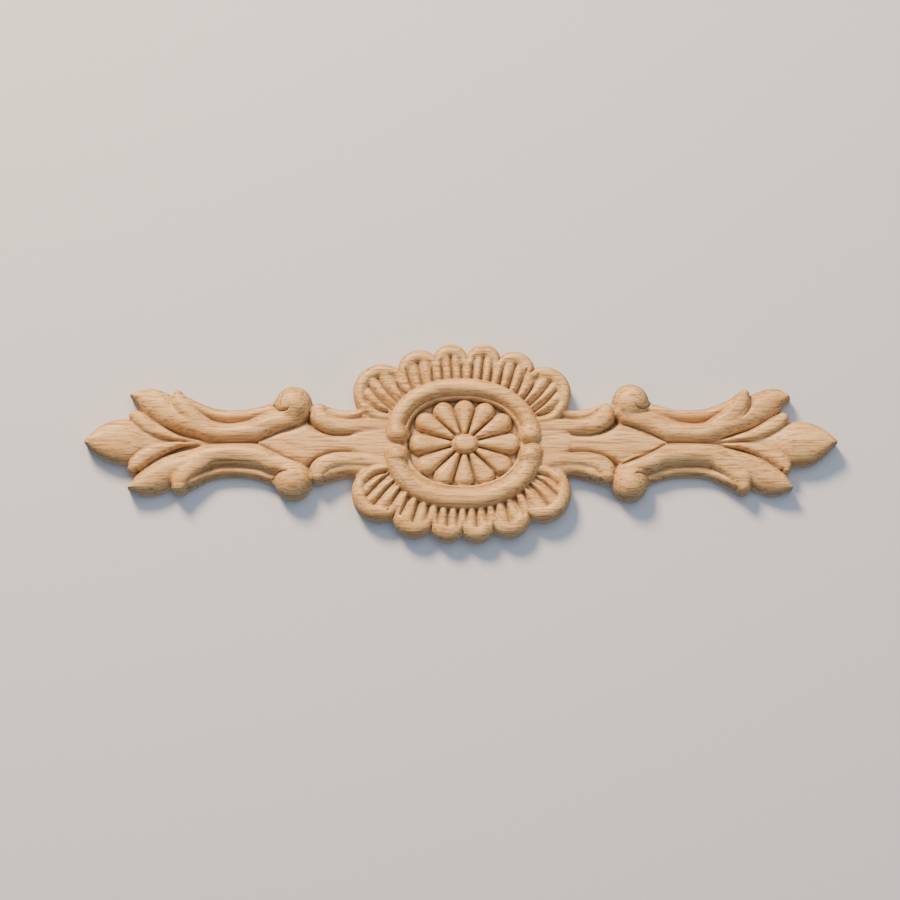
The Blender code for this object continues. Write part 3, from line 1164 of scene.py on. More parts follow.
    def leg(self, side: Side, lobe: Lobe, other: Lobe | None) -> Ridge:
        """The leg beyond a lobe: between two lobes, or the outer end of the shell curling to the neck.

        Args:
            side: The end of the piece.
            lobe: The lobe.
            other: The next lobe outwards, if there is one.

        Returns:
            The ridge of the leg.
        """
        if other is None:
            rows = [(*self.below(side, lobe, out, down), half, top) for out, down, half, top in self.last_leg]
            return Ridge(np.array(rows), self.last_leg_section)
        start = self.fan(side, lobe.steps[-1] + 1)
        x, y = ((lobe.centre[i] + other.centre[i]) / 2 for i in (0, 1))
        near, far = self.leg_half
        rows = [(*start, near, self.leg_top), (x, y * self.row.value, far, self.leg_top)]
        return Ridge(np.array(rows), self.leg_section, curved=False)

    def middle_leg(self) -> Ridge:
        """The leg on the shell's middle line, from the ring to between its two middle lobes.

        Returns:
            The ridge of the leg.
        """
        left, right = (self.lobes[side][0].centre for side in Side)
        end = ((left[0] + right[0]) / 2, (left[1] - self.middle_drop) * self.row.value)
        rows = [(*place, self.leg_half[0], self.leg_top) for place in (self.fan(Side.LEFT, 0), end)]
        return Ridge(np.array(rows), self.middle_section, curved=False)

    def crease(self, one: Lobe, two: Lobe) -> Groove:
        """The crease that runs inwards from the notch where the edges of two lobes cross.

        Args:
            one: The lobe on the left.
            two: The lobe on the right.

        Returns:
            The groove, which starts just outside the notch.
        """
        first = Vector(one.centre)
        run = Vector(two.centre) - first
        along = (one.radius**2 - two.radius**2 + run.length_squared) / (2 * run.length)
        out = Vector((-run.y, run.x)).normalized()
        out = out if out.y > 0 else -out
        corner = first + run.normalized() * along + out * math.sqrt(one.radius**2 - along**2)
        ends = (corner + out * self.notch[0], corner - out * self.notch[1])
        rows = [
            (end.x, end.y * self.row.value, half, floor)
            for end, half, floor in zip(ends, self.notch_half, self.notch_floor)
        ]
        return Groove(np.array(rows), self.notch_gouge, curved=False)

    def build(self, relief: Relief) -> None:
        """Adds the shell to the relief.

        Args:
            relief: The relief so far.
        """
        relief.add(self.middle_leg())
        rims = Relief()
        for side in Side:
            at = (side.value * self.apron[0], self.row.value * self.apron[1])
            relief.add(Plate(at, self.apron_radii, self.apron_top, self.bed_blend))
            lobes = self.lobes[side]
            for lobe, other, span in zip(lobes, (*lobes[1:], None), self.rim_spans):
                at = self.on_lobe(side, lobe, self.bed_in, lobe.tilt)
                reach = lobe.radius - 2 * self.bed_in
                relief.add(Plate(at, (reach, reach), self.bed, self.bed_blend))
                relief.add(self.leg(side, lobe, other))
                for reed in self.reeds(side, lobe):
                    relief.add(reed)
                rims.add(self.rim(side, lobe, span))
        relief.join(rims, self.rim_blend)
        for side in Side:
            for lobe in self.lobes[side]:
                for cut in self.cuts(side, lobe):
                    relief.carve(cut)
        every = (*reversed(self.lobes[Side.LEFT]), *self.lobes[Side.RIGHT])
        for one, two in zip(every, every[1:]):
            relief.carve(self.crease(one, two))


@dataclass(frozen=True)
class Quarter:
    """The scroll, its ball and the leaves of one quarter.

    The runs are stations of x, y, half width and top, all laid out as for the upper right quarter; the carver
    cut the two rows, and the ends of the leaves in each quarter, a little differently.

    Attributes:
        side: Its end of the piece.
        row: Its half of the piece.
        scrolls: The scroll, but for its last station, which the tips give.
        strips: The thin strip along the scroll, on the side away from the axis.
        valleys: The valley that parts the end of the scroll from the leaf blade before it.
        blades: The leaf blade that rises out of the scroll.
        sepals: The leaf between the scroll and the bud.
        crease_from: x at which the crease between the sepal and the bud begins.
        crease_share: Where the crease runs, in half widths of the sepal from its crest.
        crease_deep: How far the crease's floor lies below the sepal's crest.
        side_strips: The strip along the side leaf, on the side away from the axis.
        side_leaf: The leaf from the shell to the ball.
        leaf_stretch: Share by which the side leaf is longer.
        leaf_sink: How much further from the axis the side leaf lies.
        seats: x, y, two radii and top of the ground between the sepal and the scroll.
        balls: x, y, radius and top of the ball on the scroll's start.
        hook: x and y from the ball's centre, and floor, of the groove that curls into the ball.
        chips: Places where an edge is broken off.
    """

    side: Side
    row: Row
    scrolls: dict[Row, Stations] = by_row(
        (
            (63.5, 12.5, 3.6, 9.4), (68.0, 9.6, 4.8, 9.9), (75.0, 8.2, 5.05, 10.0), (80.0, 5.7, 5.4, 10.0),
            (85.0, 4.5, 4.8, 10.0), (91.0, 3.95, 4.4, 10.0), (95.0, 4.0, 4.4, 10.0), (100.0, 4.95, 4.6, 9.9),
            (105.0, 7.0, 4.8, 9.6), (115.0, 11.9, 6.3, 9.1), (120.5, 15.2, 6.3, 9.1), (126.0, 18.0, 4.9, 9.0),
        ),
        (
            (63.5, 12.5, 3.6, 9.4), (68.0, 9.6, 4.8, 9.9), (75.0, 8.0, 4.9, 10.0), (80.0, 5.4, 5.4, 10.0),
            (91.0, 4.5, 4.95, 10.0), (100.0, 5.2, 5.15, 9.9), (104.0, 6.9, 5.5, 9.7), (115.0, 10.6, 6.3, 9.1),
            (121.0, 13.9, 6.2, 9.1), (126.5, 16.4, 4.7, 9.0),
        ),
    )
    tips: dict[Corner, Station] = by_corner(
        (131.4, 19.4, 0.8, 8.6), (129.6, 18.5, 1.9, 8.6), (131.5, 18.3, 0.6, 8.6), (130.8, 18.2, 0.7, 8.6)
    )
    scroll_section: Section = Section(3.0, (2.2, 2.2), 1.75, caps=(1.0, 0.7), blend=1.2)
    strips: dict[Row, Stations] = by_row(
        (
            (71.0, 15.6, 2.9, 6.4), (76.0, 13.75, 2.9, 6.6), (81.0, 12.35, 2.9, 6.8), (86.0, 11.35, 2.9, 6.9),
            (91.0, 11.05, 2.95, 6.9), (95.0, 11.3, 2.9, 6.9), (100.0, 12.3, 2.8, 7.1), (106.0, 15.1, 2.4, 8.3),
            (110.6, 17.8, 1.9, 9.8),
        ),
        (
            (71.0, 14.9, 2.5, 5.8), (76.0, 13.2, 2.4, 5.8), (81.0, 11.7, 2.3, 5.8), (86.0, 11.0, 2.2, 5.8),
            (91.0, 10.9, 2.2, 5.8), (95.0, 11.1, 2.2, 5.8), (100.0, 12.1, 2.3, 6.0), (106.0, 15.1, 2.3, 8.0),
            (109.6, 17.4, 2.0, 9.4),
        ),
    )
    strip_section: Section = Section(2.2, (2.2, 1.9), 1.6, caps=(0.3, 1.0), blend=0.1)
    valleys: dict[Corner, Stations] = by_corner(
        ((114.6, 12.5, 0.6, 9.2), (115.6, 15.6, 0.9, 7.6), (115.6, 20.0, 1.0, 5.6)),
        (
            (109.5, 8.0, 0.5, 9.4), (113.0, 11.3, 0.8, 8.0), (114.8, 14.2, 0.9, 7.0), (115.5, 17.2, 1.0, 6.2),
            (115.4, 20.5, 1.0, 5.4),
        ),
        (
            (108.5, 7.8, 0.4, 9.8), (112.5, 10.2, 0.5, 9.0), (114.5, 13.0, 0.6, 8.2), (115.0, 15.8, 0.7, 7.4),
            (114.6, 20.0, 0.8, 6.4),
        ),
        (
            (109.5, 8.2, 0.4, 9.8), (113.0, 11.0, 0.5, 9.0), (114.9, 13.6, 0.6, 8.2), (115.1, 16.6, 0.7, 7.4),
            (114.6, 20.4, 0.8, 6.4),
        ),
    )
    valley_gouge: Gouge = Gouge(1.9, 1.0, blend=0.2)
    blades: dict[Corner, Stations] = by_corner(
        (
            (95.0, 5.0, 1.6, 8.4), (100.0, 6.7, 2.6, 9.0), (105.0, 9.4, 3.2, 9.7), (109.0, 12.6, 3.8, 10.1),
            (111.6, 15.6, 3.9, 10.2), (112.4, 17.9, 3.1, 10.0), (112.8, 19.6, 1.9, 9.7),
        ),
        (
            (95.0, 5.0, 1.8, 8.4), (100.0, 6.9, 3.0, 9.0), (105.0, 9.4, 3.7, 9.7), (109.0, 12.7, 4.1, 10.1),
            (111.2, 15.6, 3.9, 10.2), (112.2, 18.0, 3.3, 10.0), (113.0, 19.8, 2.0, 9.6),
        ),
        (
            (95.0, 5.0, 1.8, 8.4), (100.0, 7.0, 3.0, 9.0), (104.0, 8.9, 3.7, 9.5), (108.0, 11.4, 4.2, 10.0),
            (110.8, 14.8, 4.1, 10.2), (111.3, 17.6, 3.2, 9.9),
        ),
        (
            (95.0, 5.0, 1.8, 8.4), (100.0, 7.0, 3.0, 9.0), (104.0, 8.9, 3.7, 9.5), (108.0, 11.4, 4.2, 10.0),
            (110.9, 14.8, 4.1, 10.2), (111.6, 17.8, 3.1, 9.9),
        ),
    )
    blade_section: Section = Section(4.4, (3.0, 2.6), 2.2, caps=(1.0, 0.7), blend=0.6)
    sepals: dict[Corner, Stations] = by_corner(
        (
            (101.0, 0.4, 0.3, 5.0), (110.0, 1.3, 1.0, 7.8), (115.0, 2.6, 1.8, 8.3), (120.0, 4.4, 2.8, 8.7),
            (125.0, 7.2, 3.3, 9.1), (128.2, 9.8, 3.2, 9.2), (129.7, 11.0, 2.5, 9.1),
        ),
        (
            (99.0, 0.5, 0.3, 5.0), (105.0, 1.0, 0.8, 7.2), (110.0, 1.9, 1.5, 8.0), (115.0, 3.0, 2.2, 8.4),
            (120.0, 4.9, 2.8, 8.8), (125.0, 7.6, 3.2, 9.2), (128.4, 10.2, 2.4, 9.1),
        ),
        (
            (101.0, 0.2, 0.3, 5.0), (110.0, 0.5, 1.0, 7.8), (115.0, 1.4, 1.9, 8.3), (120.0, 2.9, 3.0, 8.7),
            (125.0, 5.6, 3.4, 9.0), (129.0, 9.1, 3.2, 9.0), (130.2, 10.6, 1.9, 8.8),
        ),
        (
            (101.0, 0.3, 0.3, 5.0), (110.0, 1.1, 1.3, 7.9), (115.0, 2.0, 2.2, 8.4), (120.0, 3.5, 3.1, 8.7),
            (125.0, 6.4, 3.3, 9.0), (128.2, 9.4, 3.0, 9.0), (128.7, 10.9, 1.6, 8.8),
        ),
    )
    sepal_section: Section = Section(3.4, (3.0, 3.0), 2.6, caps=(0.5, 0.35), blend=0.08)
    crease_from: float = 108.0
    crease_share: float = 0.96
    crease_half: float = 0.5
    crease_deep: float = 1.7
    crease_gouge: Gouge = Gouge(1.7, 1.2, blend=0.3)
    side_strips: dict[Row, Stations] = by_row(
        (
            (36.0, 12.9, 0.5, 8.0), (39.0, 12.5, 1.2, 8.2), (43.0, 11.6, 2.1, 7.7), (47.0, 11.5, 2.3, 7.2),
            (51.0, 12.3, 2.2, 7.2), (55.0, 14.4, 1.4, 7.4),
        ),
        (
            (34.0, 10.6, 2.0, 7.0), (40.0, 10.5, 2.8, 7.6), (45.0, 10.3, 3.05, 7.9), (49.0, 11.2, 2.9, 8.0),
            (52.0, 12.6, 2.5, 8.6), (54.6, 14.2, 1.7, 8.8),
        ),
    )
    side_strip_section: dict[Row, Section] = by_row(
        Section(2.2, (2.4, 3.0), 1.8, caps=(0.3, 0.7), blend=0.15),
        Section(2.2, (2.4, 3.0), 1.8, caps=(0.3, 0.7), blend=0.15, lean=-0.4),
    )
    side_leaf: Stations = (
        (26.0, 7.4, 3.6, 8.2), (38.0, 6.8, 3.3, 8.6), (46.0, 6.45, 3.4, 9.2), (52.0, 7.4, 4.0, 9.8),
        (55.8, 10.2, 4.2, 10.0), (56.6, 12.7, 3.5, 9.7),
    )
    side_leaf_section: Section = Section(3.4, (3.0, 3.0), 2.4, caps=(0.3, 1.0), blend=0.15)
    leaf_stretch: dict[Side, float] = by_side(0.0, 0.02)
    leaf_sink: dict[Row, float] = by_row(0.0, 0.4)
    seats: dict[Side, tuple[float, float, float, float, float]] = by_side(
        (127.0, 12.4, 2.1, 1.3, 3.8), (125.6, 12.4, 1.9, 1.3, 3.8)
    )
    balls: dict[Corner, Station] = by_corner(
        (66.6, 15.6, 7.3, 12.4), (67.5, 16.6, 7.2, 12.4), (66.5, 15.2, 7.4, 12.4), (66.8, 16.0, 7.2, 12.4)
    )
    ball_section: Section = Section(4.6, (2.1, 2.1), 2.0, blend=1.6)
    hook: tuple[tuple[float, float, float], ...] = (
        (8.0, -0.2, 4.0), (6.6, -2.2, 5.8), (4.6, -3.2, 7.4), (2.4, -3.1, 9.4), (1.3, -2.2, 11.4),
    )
    hook_half: float = 0.65
    hook_gouge: Gouge = Gouge(2.8, 1.1, blend=0.15)
    chips: dict[Corner, tuple[Stations, ...]] = by_corner(
        (((119.8, 18.6, 0.5, 7.9), (118.2, 18.2, 0.9, 6.9), (116.6, 17.2, 0.5, 6.6)),),
        (),
        (),
        (
            ((50.6, 15.1, 0.5, 2.0), (51.3, 14.3, 0.3, 3.6)), ((52.6, 15.7, 0.6, 2.0), (53.1, 15.0, 0.3, 4.0)),
            ((55.0, 16.7, 0.4, 2.4), (55.2, 15.8, 0.3, 4.2)),
        ),
    )
    chip_gouge: Gouge = Gouge(2.4, 1.0, blend=0.1)

    def here(self, stations: Stations) -> Array:
        """Stations of this quarter."""
        return turned(self.side, self.row, stations)

    def ridge(self, stations: Stations, section: Section) -> Ridge:
        """A ridge of this quarter: the left of its run is the side away from the long axis."""
        return Ridge(self.here(stations), section, hand=self.side.value * self.row.value)

    def build(self, relief: Relief) -> None:
        """Adds the quarter to the relief.

        Args:
            relief: The relief so far.
        """
        side, row, corner = self.side, self.row, (self.side, self.row)
        relief.add(self.ridge(self.strips[row], self.strip_section))
        relief.add(self.ridge((*self.scrolls[row], self.tips[corner]), self.scroll_section))
        relief.carve(Groove(self.here(self.valleys[corner]), self.valley_gouge))
        relief.add(self.ridge(self.blades[corner], self.blade_section))
        relief.add(self.ridge(self.sepals[corner], self.sepal_section))
        relief.add(self.ridge(self.side_strips[row], self.side_strip_section[row]))
        longer, sink = 1 + self.leaf_stretch[side], self.leaf_sink[row]
        leaf = tuple((x * longer, y + sink, half - sink / 3, top) for x, y, half, top in self.side_leaf)
        relief.add(self.ridge(leaf, self.side_leaf_section))
        x, y, *radii, top = self.seats[side]
        relief.add(Plate((x * side.value, y * row.value), tuple(radii), top))
        x, y, radius, top = self.balls[corner]
        relief.add(Dome((x * side.value, y * row.value), (radius, radius), top, self.ball_section))
        hook = tuple((x + dx, y + dy, self.hook_half, floor) for dx, dy, floor in self.hook)
        relief.carve(Groove(self.here(hook), self.hook_gouge))

    def finish(self, relief: Relief) -> None:
        """Cuts the crease between the sepal and the bud, and the chips, once the bud is in place.

        Args:
            relief: The relief so far.
        """
        corner = (self.side, self.row)
        path = through(np.array(self.sepals[corner]))
        run = np.gradient(path[:, :2], axis=0)
        run /= np.hypot(run[:, 0], run[:, 1])[:, None]
        x, y = (path[:, :2] + np.column_stack([run[:, 1], -run[:, 0]]) * path[:, 2:3] * self.crease_share).T
        rows = run_of(x, y, self.crease_half, path[:, 3] - self.crease_deep)[path[:, 0] > self.crease_from]
        relief.carve(Groove(self.here(rows), self.crease_gouge, curved=False))
        for chip in self.chips[corner]:
            relief.carve(Groove(self.here(chip), self.chip_gouge))


@dataclass(frozen=True)
class Axis:
    """The bud, the neck and the ground along the axis at one end.

    Attributes:
        side: Its end of the piece.
        grounds: x, half length, half height and top of the ground round the neck.
        keel: The ground along the axis, from the neck to the bud.
        shoulder: The broad start of the neck, beside the ring.
        edge_floors: Floor of the groove along each side of the neck, at each of the neck's stations.
        tip_crease: The crease in the tip of the bud.
    """

    side: Side
    grounds: tuple[tuple[float, ...], ...] = ((62.0, 12.0, 13.0, 3.0), (40.0, 15.0, 12.4, 6.2))
    keel: Stations = (
        (38.0, 0.3, 5.0, 3.8), (76.0, 0.2, 5.0, 3.8), (84.0, 0.2, 3.0, 5.8), (98.0, 0.2, 3.0, 5.8),
        (106.0, 0.2, 4.2, 4.6), (112.0, 0.3, 5.6, 4.0), (118.0, 0.3, 8.0, 3.8), (124.0, 0.3, 11.0, 3.8),
    )
    keel_section: Section = Section(3.2, (3.0, 3.0), 1.0, caps=(0.2, 0.2))
    necks: dict[Side, Stations] = by_side(
        (
            (28.0, -0.4, 5.9, 8.2), (38.0, -0.2, 4.2, 8.1), (46.0, -0.4, 3.2, 7.9), (50.5, -0.45, 3.3, 7.8),
            (54.0, -0.5, 4.2, 7.7), (57.5, -0.5, 5.7, 7.6), (61.7, -0.5, 8.2, 7.5), (71.0, -0.2, 4.9, 7.2),
            (80.0, 0.1, 0.6, 6.8),
        ),
        (
            (28.0, -0.4, 5.4, 8.3), (38.0, -0.2, 4.0, 8.2), (46.0, -0.4, 3.2, 7.9), (51.5, -0.45, 3.3, 7.8),
            (55.2, -0.5, 4.2, 7.7), (59.0, -0.5, 5.7, 7.6), (63.4, -0.5, 8.2, 7.5), (72.5, -0.2, 4.9, 7.2),
            (81.0, 0.0, 0.6, 6.8),
        ),
    )
    neck_section: Section = Section(3.6, (5.0, 5.0), 3.2, caps=(0.3, 1.0), blend=0.15)
    shoulder: Stations = ((24.0, 0.0, 8.2, 8.3), (34.0, 0.0, 7.8, 8.3), (39.0, 0.0, 6.0, 8.2))
    shoulder_section: Section = Section(5.5, (5.0, 5.0), 3.0, caps=(0.3, 0.9), blend=0.5)
    edge_floors: dict[Side, tuple[float, ...]] = by_side(
        (8.1, 7.7, 6.2, 5.8, 5.8, 5.8, 5.6, 5.6, 5.6), (8.4, 8.1, 6.6, 5.8, 5.8, 5.8, 5.6, 5.6, 5.6)
    )
    edge_half: float = 0.7
    edge_gouge: Gouge = Gouge(2.2, 1.1, blend=0.15)
    buds: dict[Side, Stations] = by_side(
        (
            (103.0, 0.3, 0.8, 5.4), (112.0, 0.3, 1.8, 5.8), (120.0, 0.3, 4.0, 6.6), (125.5, 0.5, 6.6, 7.8),
            (130.5, 0.75, 8.6, 9.2), (137.0, 0.9, 8.6, 9.9), (142.0, 0.7, 6.9, 9.8), (146.0, 0.5, 4.2, 9.6),
            (149.3, 0.4, 0.7, 9.0),
        ),
        (
            (103.0, 0.4, 0.8, 5.4), (112.0, 0.3, 1.8, 5.8), (120.0, 0.0, 4.0, 6.6), (125.0, -0.2, 6.8, 7.8),
            (129.5, -0.3, 8.5, 9.2), (134.0, -0.2, 8.8, 9.9), (138.0, 0.0, 8.4, 9.9), (142.0, 0.3, 6.8, 9.8),
            (146.0, 0.4, 3.9, 9.6), (148.5, 0.4, 0.9, 9.0),
        ),
    )
    bud_section: Section = Section(4.0, (2.5, 2.5), 2.0, caps=(1.0, 0.5), blend=0.15)
    tip_crease: Stations = ((150.5, 0.5, 0.5, 6.5), (145.0, 0.6, 0.25, 9.8))
    tip_gouge: Gouge = Gouge(1.4, 1.2, blend=0.3)

    def here(self, stations: Stations) -> Array:
        """Stations of this end."""
        return turned(self.side, Row.UPPER, stations)

    def build(self, relief: Relief) -> None:
        """Adds the forms on the axis to the relief.

        Args:
            relief: The relief so far.
        """
        for x, a, b, top in self.grounds:
            relief.add(Plate((self.side.value * x, 0), (a, b), top))
        relief.add(Ridge(self.here(self.keel), self.keel_section, curved=False))
        neck = self.here(self.necks[self.side])
        relief.add(Ridge(neck, self.neck_section, curved=False))
        relief.add(Ridge(self.here(self.shoulder), self.shoulder_section))
        for row in Row:
            x, y, half, _ = neck.T
            edge = run_of(x, y + half * row.value, self.edge_half, self.edge_floors[self.side])
            relief.carve(Groove(edge, self.edge_gouge, curved=False))
        relief.add(Ridge(self.here(self.buds[self.side]), self.bud_section))
        relief.carve(Groove(self.here(self.tip_crease), self.tip_gouge, curved=False))


# ------------------------------------------------------------------------------------------------------------
# Finishes

Colour = tuple[float, float, float, float]


def linear(hex_colour: str) -> Colour:
    """Turns an sRGB hex colour to linear light, by the sRGB curve: c/12.92, or ((c+0.055)/1.055)^2.4."""
    raw = [int(hex_colour[i : i + 2], 16) / 255 for i in (1, 3, 5)]
    red, green, blue = (c / 12.92 if c <= 0.04045 else ((c + 0.055) / 1.055) ** 2.4 for c in raw)
    return red, green, blue, 1.0


def add_node(
    tree: bpy.types.NodeTree, kind: str, settings: dict[str, object] | None = None, **links: object
) -> bpy.types.Node:
    """Adds one node.

    Args:
        tree: The material's nodes.
        kind: The node's type name.
        settings: Its properties, and the values of its inputs by name.
        links: Outputs that its inputs take, keyed by input name with _ for a space, or by in_ and the number.

    Returns:
        The node.
    """
    node = tree.nodes.new(kind)
    for key, value in (settings or {}).items():
        if key in node.inputs:
            node.inputs[key].default_value = value
        else:
            setattr(node, key, value)
    for key, source in links.items():
        socket = node.inputs[int(key[3:])] if key.startswith("in_") else node.inputs[key.replace("_", " ")]
        tree.links.new(source, socket)
    return node


def new_material(name: str) -> bpy.types.Material:
    """Makes a material with no nodes in it yet.

    Args:
        name: The material's name.

    Returns:
        The material.
    """
    made = bpy.data.materials.new(name)
    made.use_nodes = True
    made.node_tree.nodes.clear()
    return made


@dataclass(frozen=True)
class BareHardwood:
    """Bare beech-like hardwood, carved and lightly sanded, with no finish on it.

    What it gives the eye: a warm pale tan that hardly shines, fine straight grain along the piece, short darker
    pore dashes, slow bands of paler and browner wood, and painted shade: greyer brown in the hollows and dark
    brown in the narrow cuts.

    The three patterns are given by how many of them fit in a metre, along the piece, out from the wall and up
    it. The bands are about 80 mm long and 6 mm apart, and the streaks of the grain 14 mm long and 0.7 mm apart.
    The pores lie 4 mm apart along the grain and 0.5 mm apart across it, and each is about 2 mm long and 0.25 mm
    wide: real ones are finer, and wouldn't show.
    """

    pale: str = "#D1AB71"
    tan: str = "#C1955B"
    brown: str = "#966C44"
    pore: str = "#7D5637"
    # The last two colours are painted shade: greyer brown for the hollows and dark brown for the narrow cuts.
    hollow: str = "#8B7259"
    cut: str = "#4A3728"
    bands: tuple[float, float, float] = (12.0, 90.0, 160.0)
    streaks: tuple[float, float, float] = (70.0, 1100.0, 1500.0)
    pores: tuple[float, float, float] = (260.0, 1500.0, 1900.0)
    most: float = 0.75
    roughness: float = 0.45
    gloss: float = 0.35
    ripple: float = 0.0002

    def material(self) -> bpy.types.Material:
        """Builds the material from Object coordinates, in metres, and from the depth attributes that paint
        shade into the hollows and cuts.

        Returns:
            The material.
        """
        made = new_material("bare_hardwood")
        tree = made.node_tree
        where = add_node(tree, "ShaderNodeTexCoord").outputs["Object"]
        bands, streaks, pores = (
            add_node(
                tree, kind, {"Scale": 1.0, **settings},
                Vector=add_node(tree, "ShaderNodeMapping", {"Scale": scale}, Vector=where).outputs[0],
            ).outputs[output]
            for kind, settings, scale, output in (
                ("ShaderNodeTexNoise", {"Detail": 3.0, "Roughness": 0.5}, self.bands, "Fac"),
                ("ShaderNodeTexNoise", {"Detail": 4.0, "Roughness": 0.6}, self.streaks, "Fac"),
                ("ShaderNodeTexVoronoi", {"feature": "F1"}, self.pores, "Distance"),
            )
        )
        hollow, cut = (
            add_node(tree, "ShaderNodeAttribute", {"attribute_name": name}).outputs["Fac"]
            for name in ("hollow", "cut")
        )
        # Each layer covers the tan, or what lies under it, by a share that grows from 0 to its most as its
        # source goes from the first level to the second. The last two are painted shade, darker the deeper the
        # hollows and the cuts are; their depths are in millimetres.
        under: dict[str, bpy.types.NodeSocket] = {}
        for source, first, second, most, over in (
            (bands, 0.35, 0.65, 1.0, self.pale),
            (streaks, 0.47, 0.63, 1.0, self.brown),
            (pores, 0.26, 0.1, self.most, self.pore),
            (hollow, 0.0, 1.6, self.most, self.hollow),
            (cut, 0.1, 0.75, self.most, self.cut),
        ):
            levels = {"From Min": first, "From Max": second, "To Max": most}
            share = add_node(tree, "ShaderNodeMapRange", levels, Value=source).outputs[0]
            settings = {"data_type": "RGBA", "A": linear(self.tan), "B": linear(over)}
            mix = add_node(tree, "ShaderNodeMix", settings, Factor=share, **under)
            under = {"A": mix.outputs["Result"]}
        ripple = add_node(tree, "ShaderNodeBump", {"Strength": 0.5, "Distance": self.ripple}, Height=streaks)
        shader = add_node(
            tree, "ShaderNodeBsdfPrincipled",
            {"Roughness": self.roughness, "IOR": 1.5, "Specular IOR Level": self.gloss},
            Base_Color=under["A"], Normal=ripple.outputs[0],
        )
        add_node(tree, "ShaderNodeOutputMaterial", Surface=shader.outputs[0])
        return made


@dataclass(frozen=True)
class PalePaint:
    """Matt pale wall paint: an even, nearly neutral ground that shows soft shadows."""

    colour: str = "#BABCC1"
    roughness: float = 0.9

    def material(self) -> bpy.types.Material:
        """Builds the paint, which shows from its front alone.

        Returns:
            The material.
        """
        made = new_material("pale_wall_paint")
        tree = made.node_tree
        settings = {"Base Color": linear(self.colour), "Roughness": self.roughness}
        paint = add_node(tree, "ShaderNodeBsdfPrincipled", settings).outputs[0]
        clear = add_node(tree, "ShaderNodeBsdfTransparent").outputs[0]
        back = add_node(tree, "ShaderNodeNewGeometry").outputs["Backfacing"]
        mix = add_node(tree, "ShaderNodeMixShader", in_0=back, in_1=paint, in_2=clear)
        add_node(tree, "ShaderNodeOutputMaterial", Surface=mix.outputs[0])
        return made


# ------------------------------------------------------------------------------------------------------------
# The finished piece and the studio


def placed(name: str, data: bpy.types.ID) -> bpy.types.Object:
    """Puts an object of its own into the scene."""
    made = bpy.data.objects.new(name, data)
    bpy.context.scene.collection.objects.link(made)
    return made


@dataclass(frozen=True)
class Applique:
    """The whole carving: a medallion between two shells, with two scrolls and a bud at each end.

    The carver gave every lobe of the shells its own place and size and fanned its reeds out by eye.

    Attributes:
        medallion: The medallion.
        lobes: Centre, radius, tilt and spread of each lobe, from the shell's middle outwards.
        legs: How far the legs stand from the shell's middle line, measured along the ring.
        middles: x of each shell's middle line.
        steps: Which steps of the fan are the reeds of the first, second and third lobe.
    """

    medallion: Medallion = Medallion()
    lobes: dict[Corner, tuple[tuple[float, float, float, float, float], ...]] = by_corner(
        ((-4.1, 33.0, 7.2, 0, 42), (-16.5, 29.0, 8.85, 14, 35), (-31.45, 20.5, 11.5, 43, 50)),
        ((8.95, 33.0, 7.15, 5, 44), (21.2, 28.75, 8.35, 15, 34), (32.9, 20.0, 10.9, 57, 48)),
        ((-5.1, 32.0, 7.4, 8, 36), (-18.4, 28.9, 8.8, 12, 37), (-31.9, 20.0, 11.35, 49, 48)),
        ((6.4, 32.0, 7.5, -3, 43), (19.0, 28.9, 8.8, 3, 42), (32.1, 20.1, 11.4, 49, 58)),
    )
    legs: dict[Corner, tuple[float, float, float]] = by_corner(
        (11.45, 24.6, 40.2), (11.3, 22.9, 35.9), (11.35, 23.7, 38.3), (10.6, 22.7, 36.9)
    )
    middles: dict[Row, float] = by_row(2.4, 0.6)
    steps: tuple[tuple[int, ...], ...] = ((1, 2), (4, 5), (7, 8, 9))

    def shell(self, row: Row) -> Shell:
        """The shell above or below the ring.

        Args:
            row: The upper or the lower shell.

        Returns:
            The shell with its lobes.
        """
        lobes = {
            side: tuple(
                Lobe((x, y), radius, tilt, spread, steps)
                for (x, y, radius, tilt, spread), steps in zip(self.lobes[side, row], self.steps)
            )
            for side in Side
        }
        legs = {side: self.legs[side, row] for side in Side}
        return Shell(row, lobes, self.middles[row], legs, self.medallion)

    def build(self, wood: BareHardwood) -> bpy.types.Object:
        """Works out the relief, makes its mesh and dresses it.

        Args:
            wood: The finish of the carving.

        Returns:
            The finished piece.
        """
        relief = Relief()
        for side in Side:
            quarters = [Quarter(side, row) for row in Row]
            for quarter in quarters:
                quarter.build(relief)
            Axis(side).build(relief)
            for quarter in quarters:
                quarter.finish(relief)
        for row in Row:
            self.shell(row).build(relief)
        self.medallion.build(relief)
        piece = placed("carved_relief", relief.mesh("carved_relief"))
        piece.data.materials.append(wood.material())
        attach(piece, "root")
        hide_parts("carved_crest")
        return piece


@dataclass(frozen=True)
class SoftBox:
    """A square soft light: its place and size in metres, its power in watts and its colour."""

    name: str
    at: tuple[float, float, float]
    size: float
    power: float
    colour: str

    def build(self) -> None:
        """Hangs the light, turned to the middle of the piece."""
        lamp = bpy.data.lights.new(self.name, "AREA")
        lamp.size, lamp.energy, lamp.color = self.size, self.power, linear(self.colour)[:3]
        box = placed(self.name, lamp)
        box.location = self.at
        box.rotation_euler = (-Vector(self.at)).to_track_quat("-Z", "Y").to_euler()


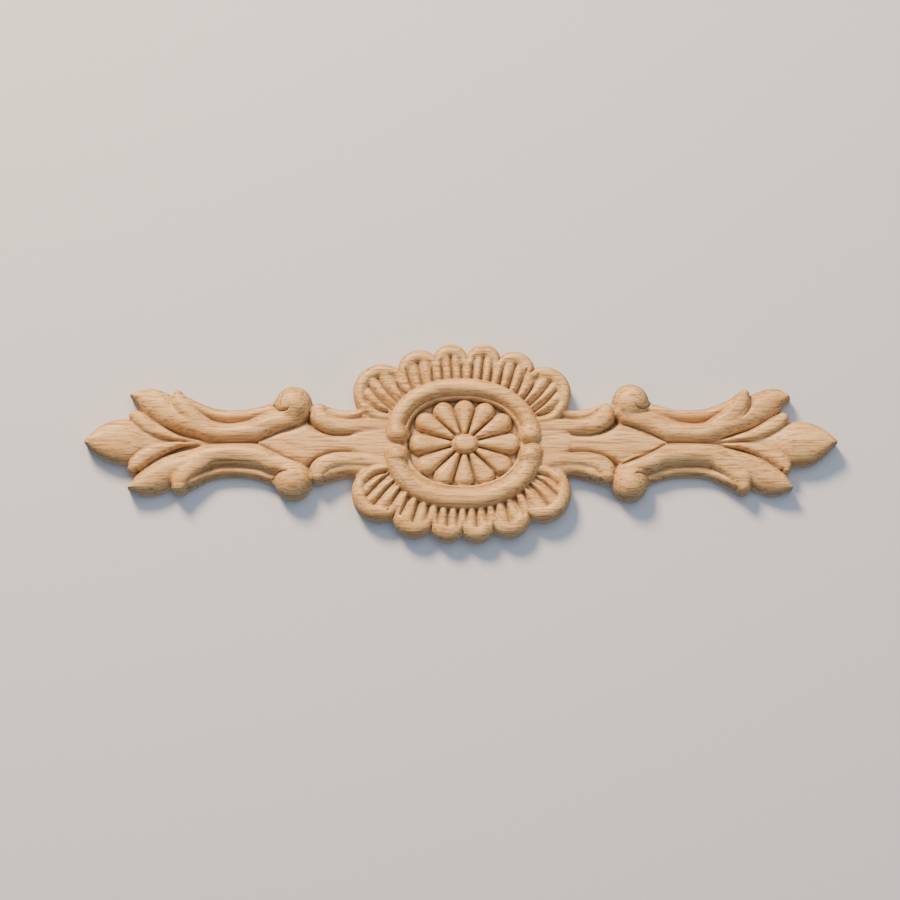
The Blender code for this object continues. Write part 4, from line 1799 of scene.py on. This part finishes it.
@dataclass(frozen=True)
class Studio:
    """A plain pale floor that the piece lies on, soft light from above left, and the camera.

    Attributes:
        distance: From the camera to the middle of the view.
        tilt: How far the camera looks up at the piece, in degrees.
        aim: How far the middle of the view lies to the right and up from the middle of the piece.
        lens: The camera's focal length, on a sensor 36 mm wide.
        floor_half: Half the side of the floor, in metres.
        floor_gap: How far the floor lies behind the piece, in metres.
    """

    distance: float = 900.0
    tilt: float = 12.0
    aim: Pair = (-4.39, -1.60)
    lens: float = 90.16
    sensor: float = 36.0
    floor_half: float = 2.0
    floor_gap: float = 0.0004
    paint: PalePaint = PalePaint()
    boxes: tuple[SoftBox, ...] = (
        SoftBox("key_box", (-0.48, -0.9, 0.92), 0.35, 54.0, "#FFDFB8"),
        SoftBox("fill_box", (0.2, -1.3, 0.3), 1.0, 11.0, "#DFE7F4"),
    )
    surround: str = "#CEDBF0"
    surround_strength: float = 0.5

    def floor(self) -> bpy.types.Object:
        """The floor, just behind the piece's back, facing the camera.

        Returns:
            The floor's object.
        """
        mesh = bpy.data.meshes.new("pale_floor")
        corners = np.array([(-1, 0, -1), (1, 0, -1), (1, 0, 1), (-1, 0, 1)]) * self.floor_half
        mesh.from_pydata(corners + (0, self.floor_gap, 0), [], [(0, 1, 2, 3)])
        plane = placed("pale_floor", mesh)
        mesh.materials.append(self.paint.material())
        for ray in ("visible_diffuse", "visible_glossy", "visible_transmission", "visible_shadow"):
            setattr(plane, ray, False)
        return plane

    def camera(self) -> None:
        """Puts the camera a little below the piece's middle, looking up at it by the tilt."""
        data = bpy.data.cameras.new("camera")
        data.sensor_width, data.lens, data.clip_end = self.sensor, self.lens, 10.0
        shot = placed("camera", data)
        s, c = math.sin(math.radians(self.tilt)), math.cos(math.radians(self.tilt))
        right, up, back = Vector((1, 0, 0)), Vector((0, -s, c)), Vector((0, -c, -s))
        at = (right * self.aim[0] + up * self.aim[1] + back * self.distance) * MM
        shot.matrix_world = Matrix([*((right[i], up[i], back[i], at[i]) for i in range(3)), (0, 0, 0, 1)])
        bpy.context.scene.camera = shot

    def world(self) -> None:
        """An even pale surround."""
        world = bpy.data.worlds.new("studio")
        world.use_nodes = True
        ground = world.node_tree.nodes["Background"]
        ground.inputs["Color"].default_value = linear(self.surround)
        ground.inputs["Strength"].default_value = self.surround_strength
        bpy.context.scene.world = world

    def build(self) -> None:
        """Sets up the whole studio."""
        self.floor()
        for box in self.boxes:
            box.build()
        self.world()
        self.camera()


def main() -> None:
    """Builds the applique and the studio, and reports each."""
    logging.basicConfig(level=logging.INFO, format="%(name)s: %(message)s")
    piece = Applique().build(BareHardwood())
    log.info("%s: %d faces", piece.name, len(piece.data.polygons))
    Studio().build()
    log.info("studio ready")


if __name__ == "__main__":
    main()
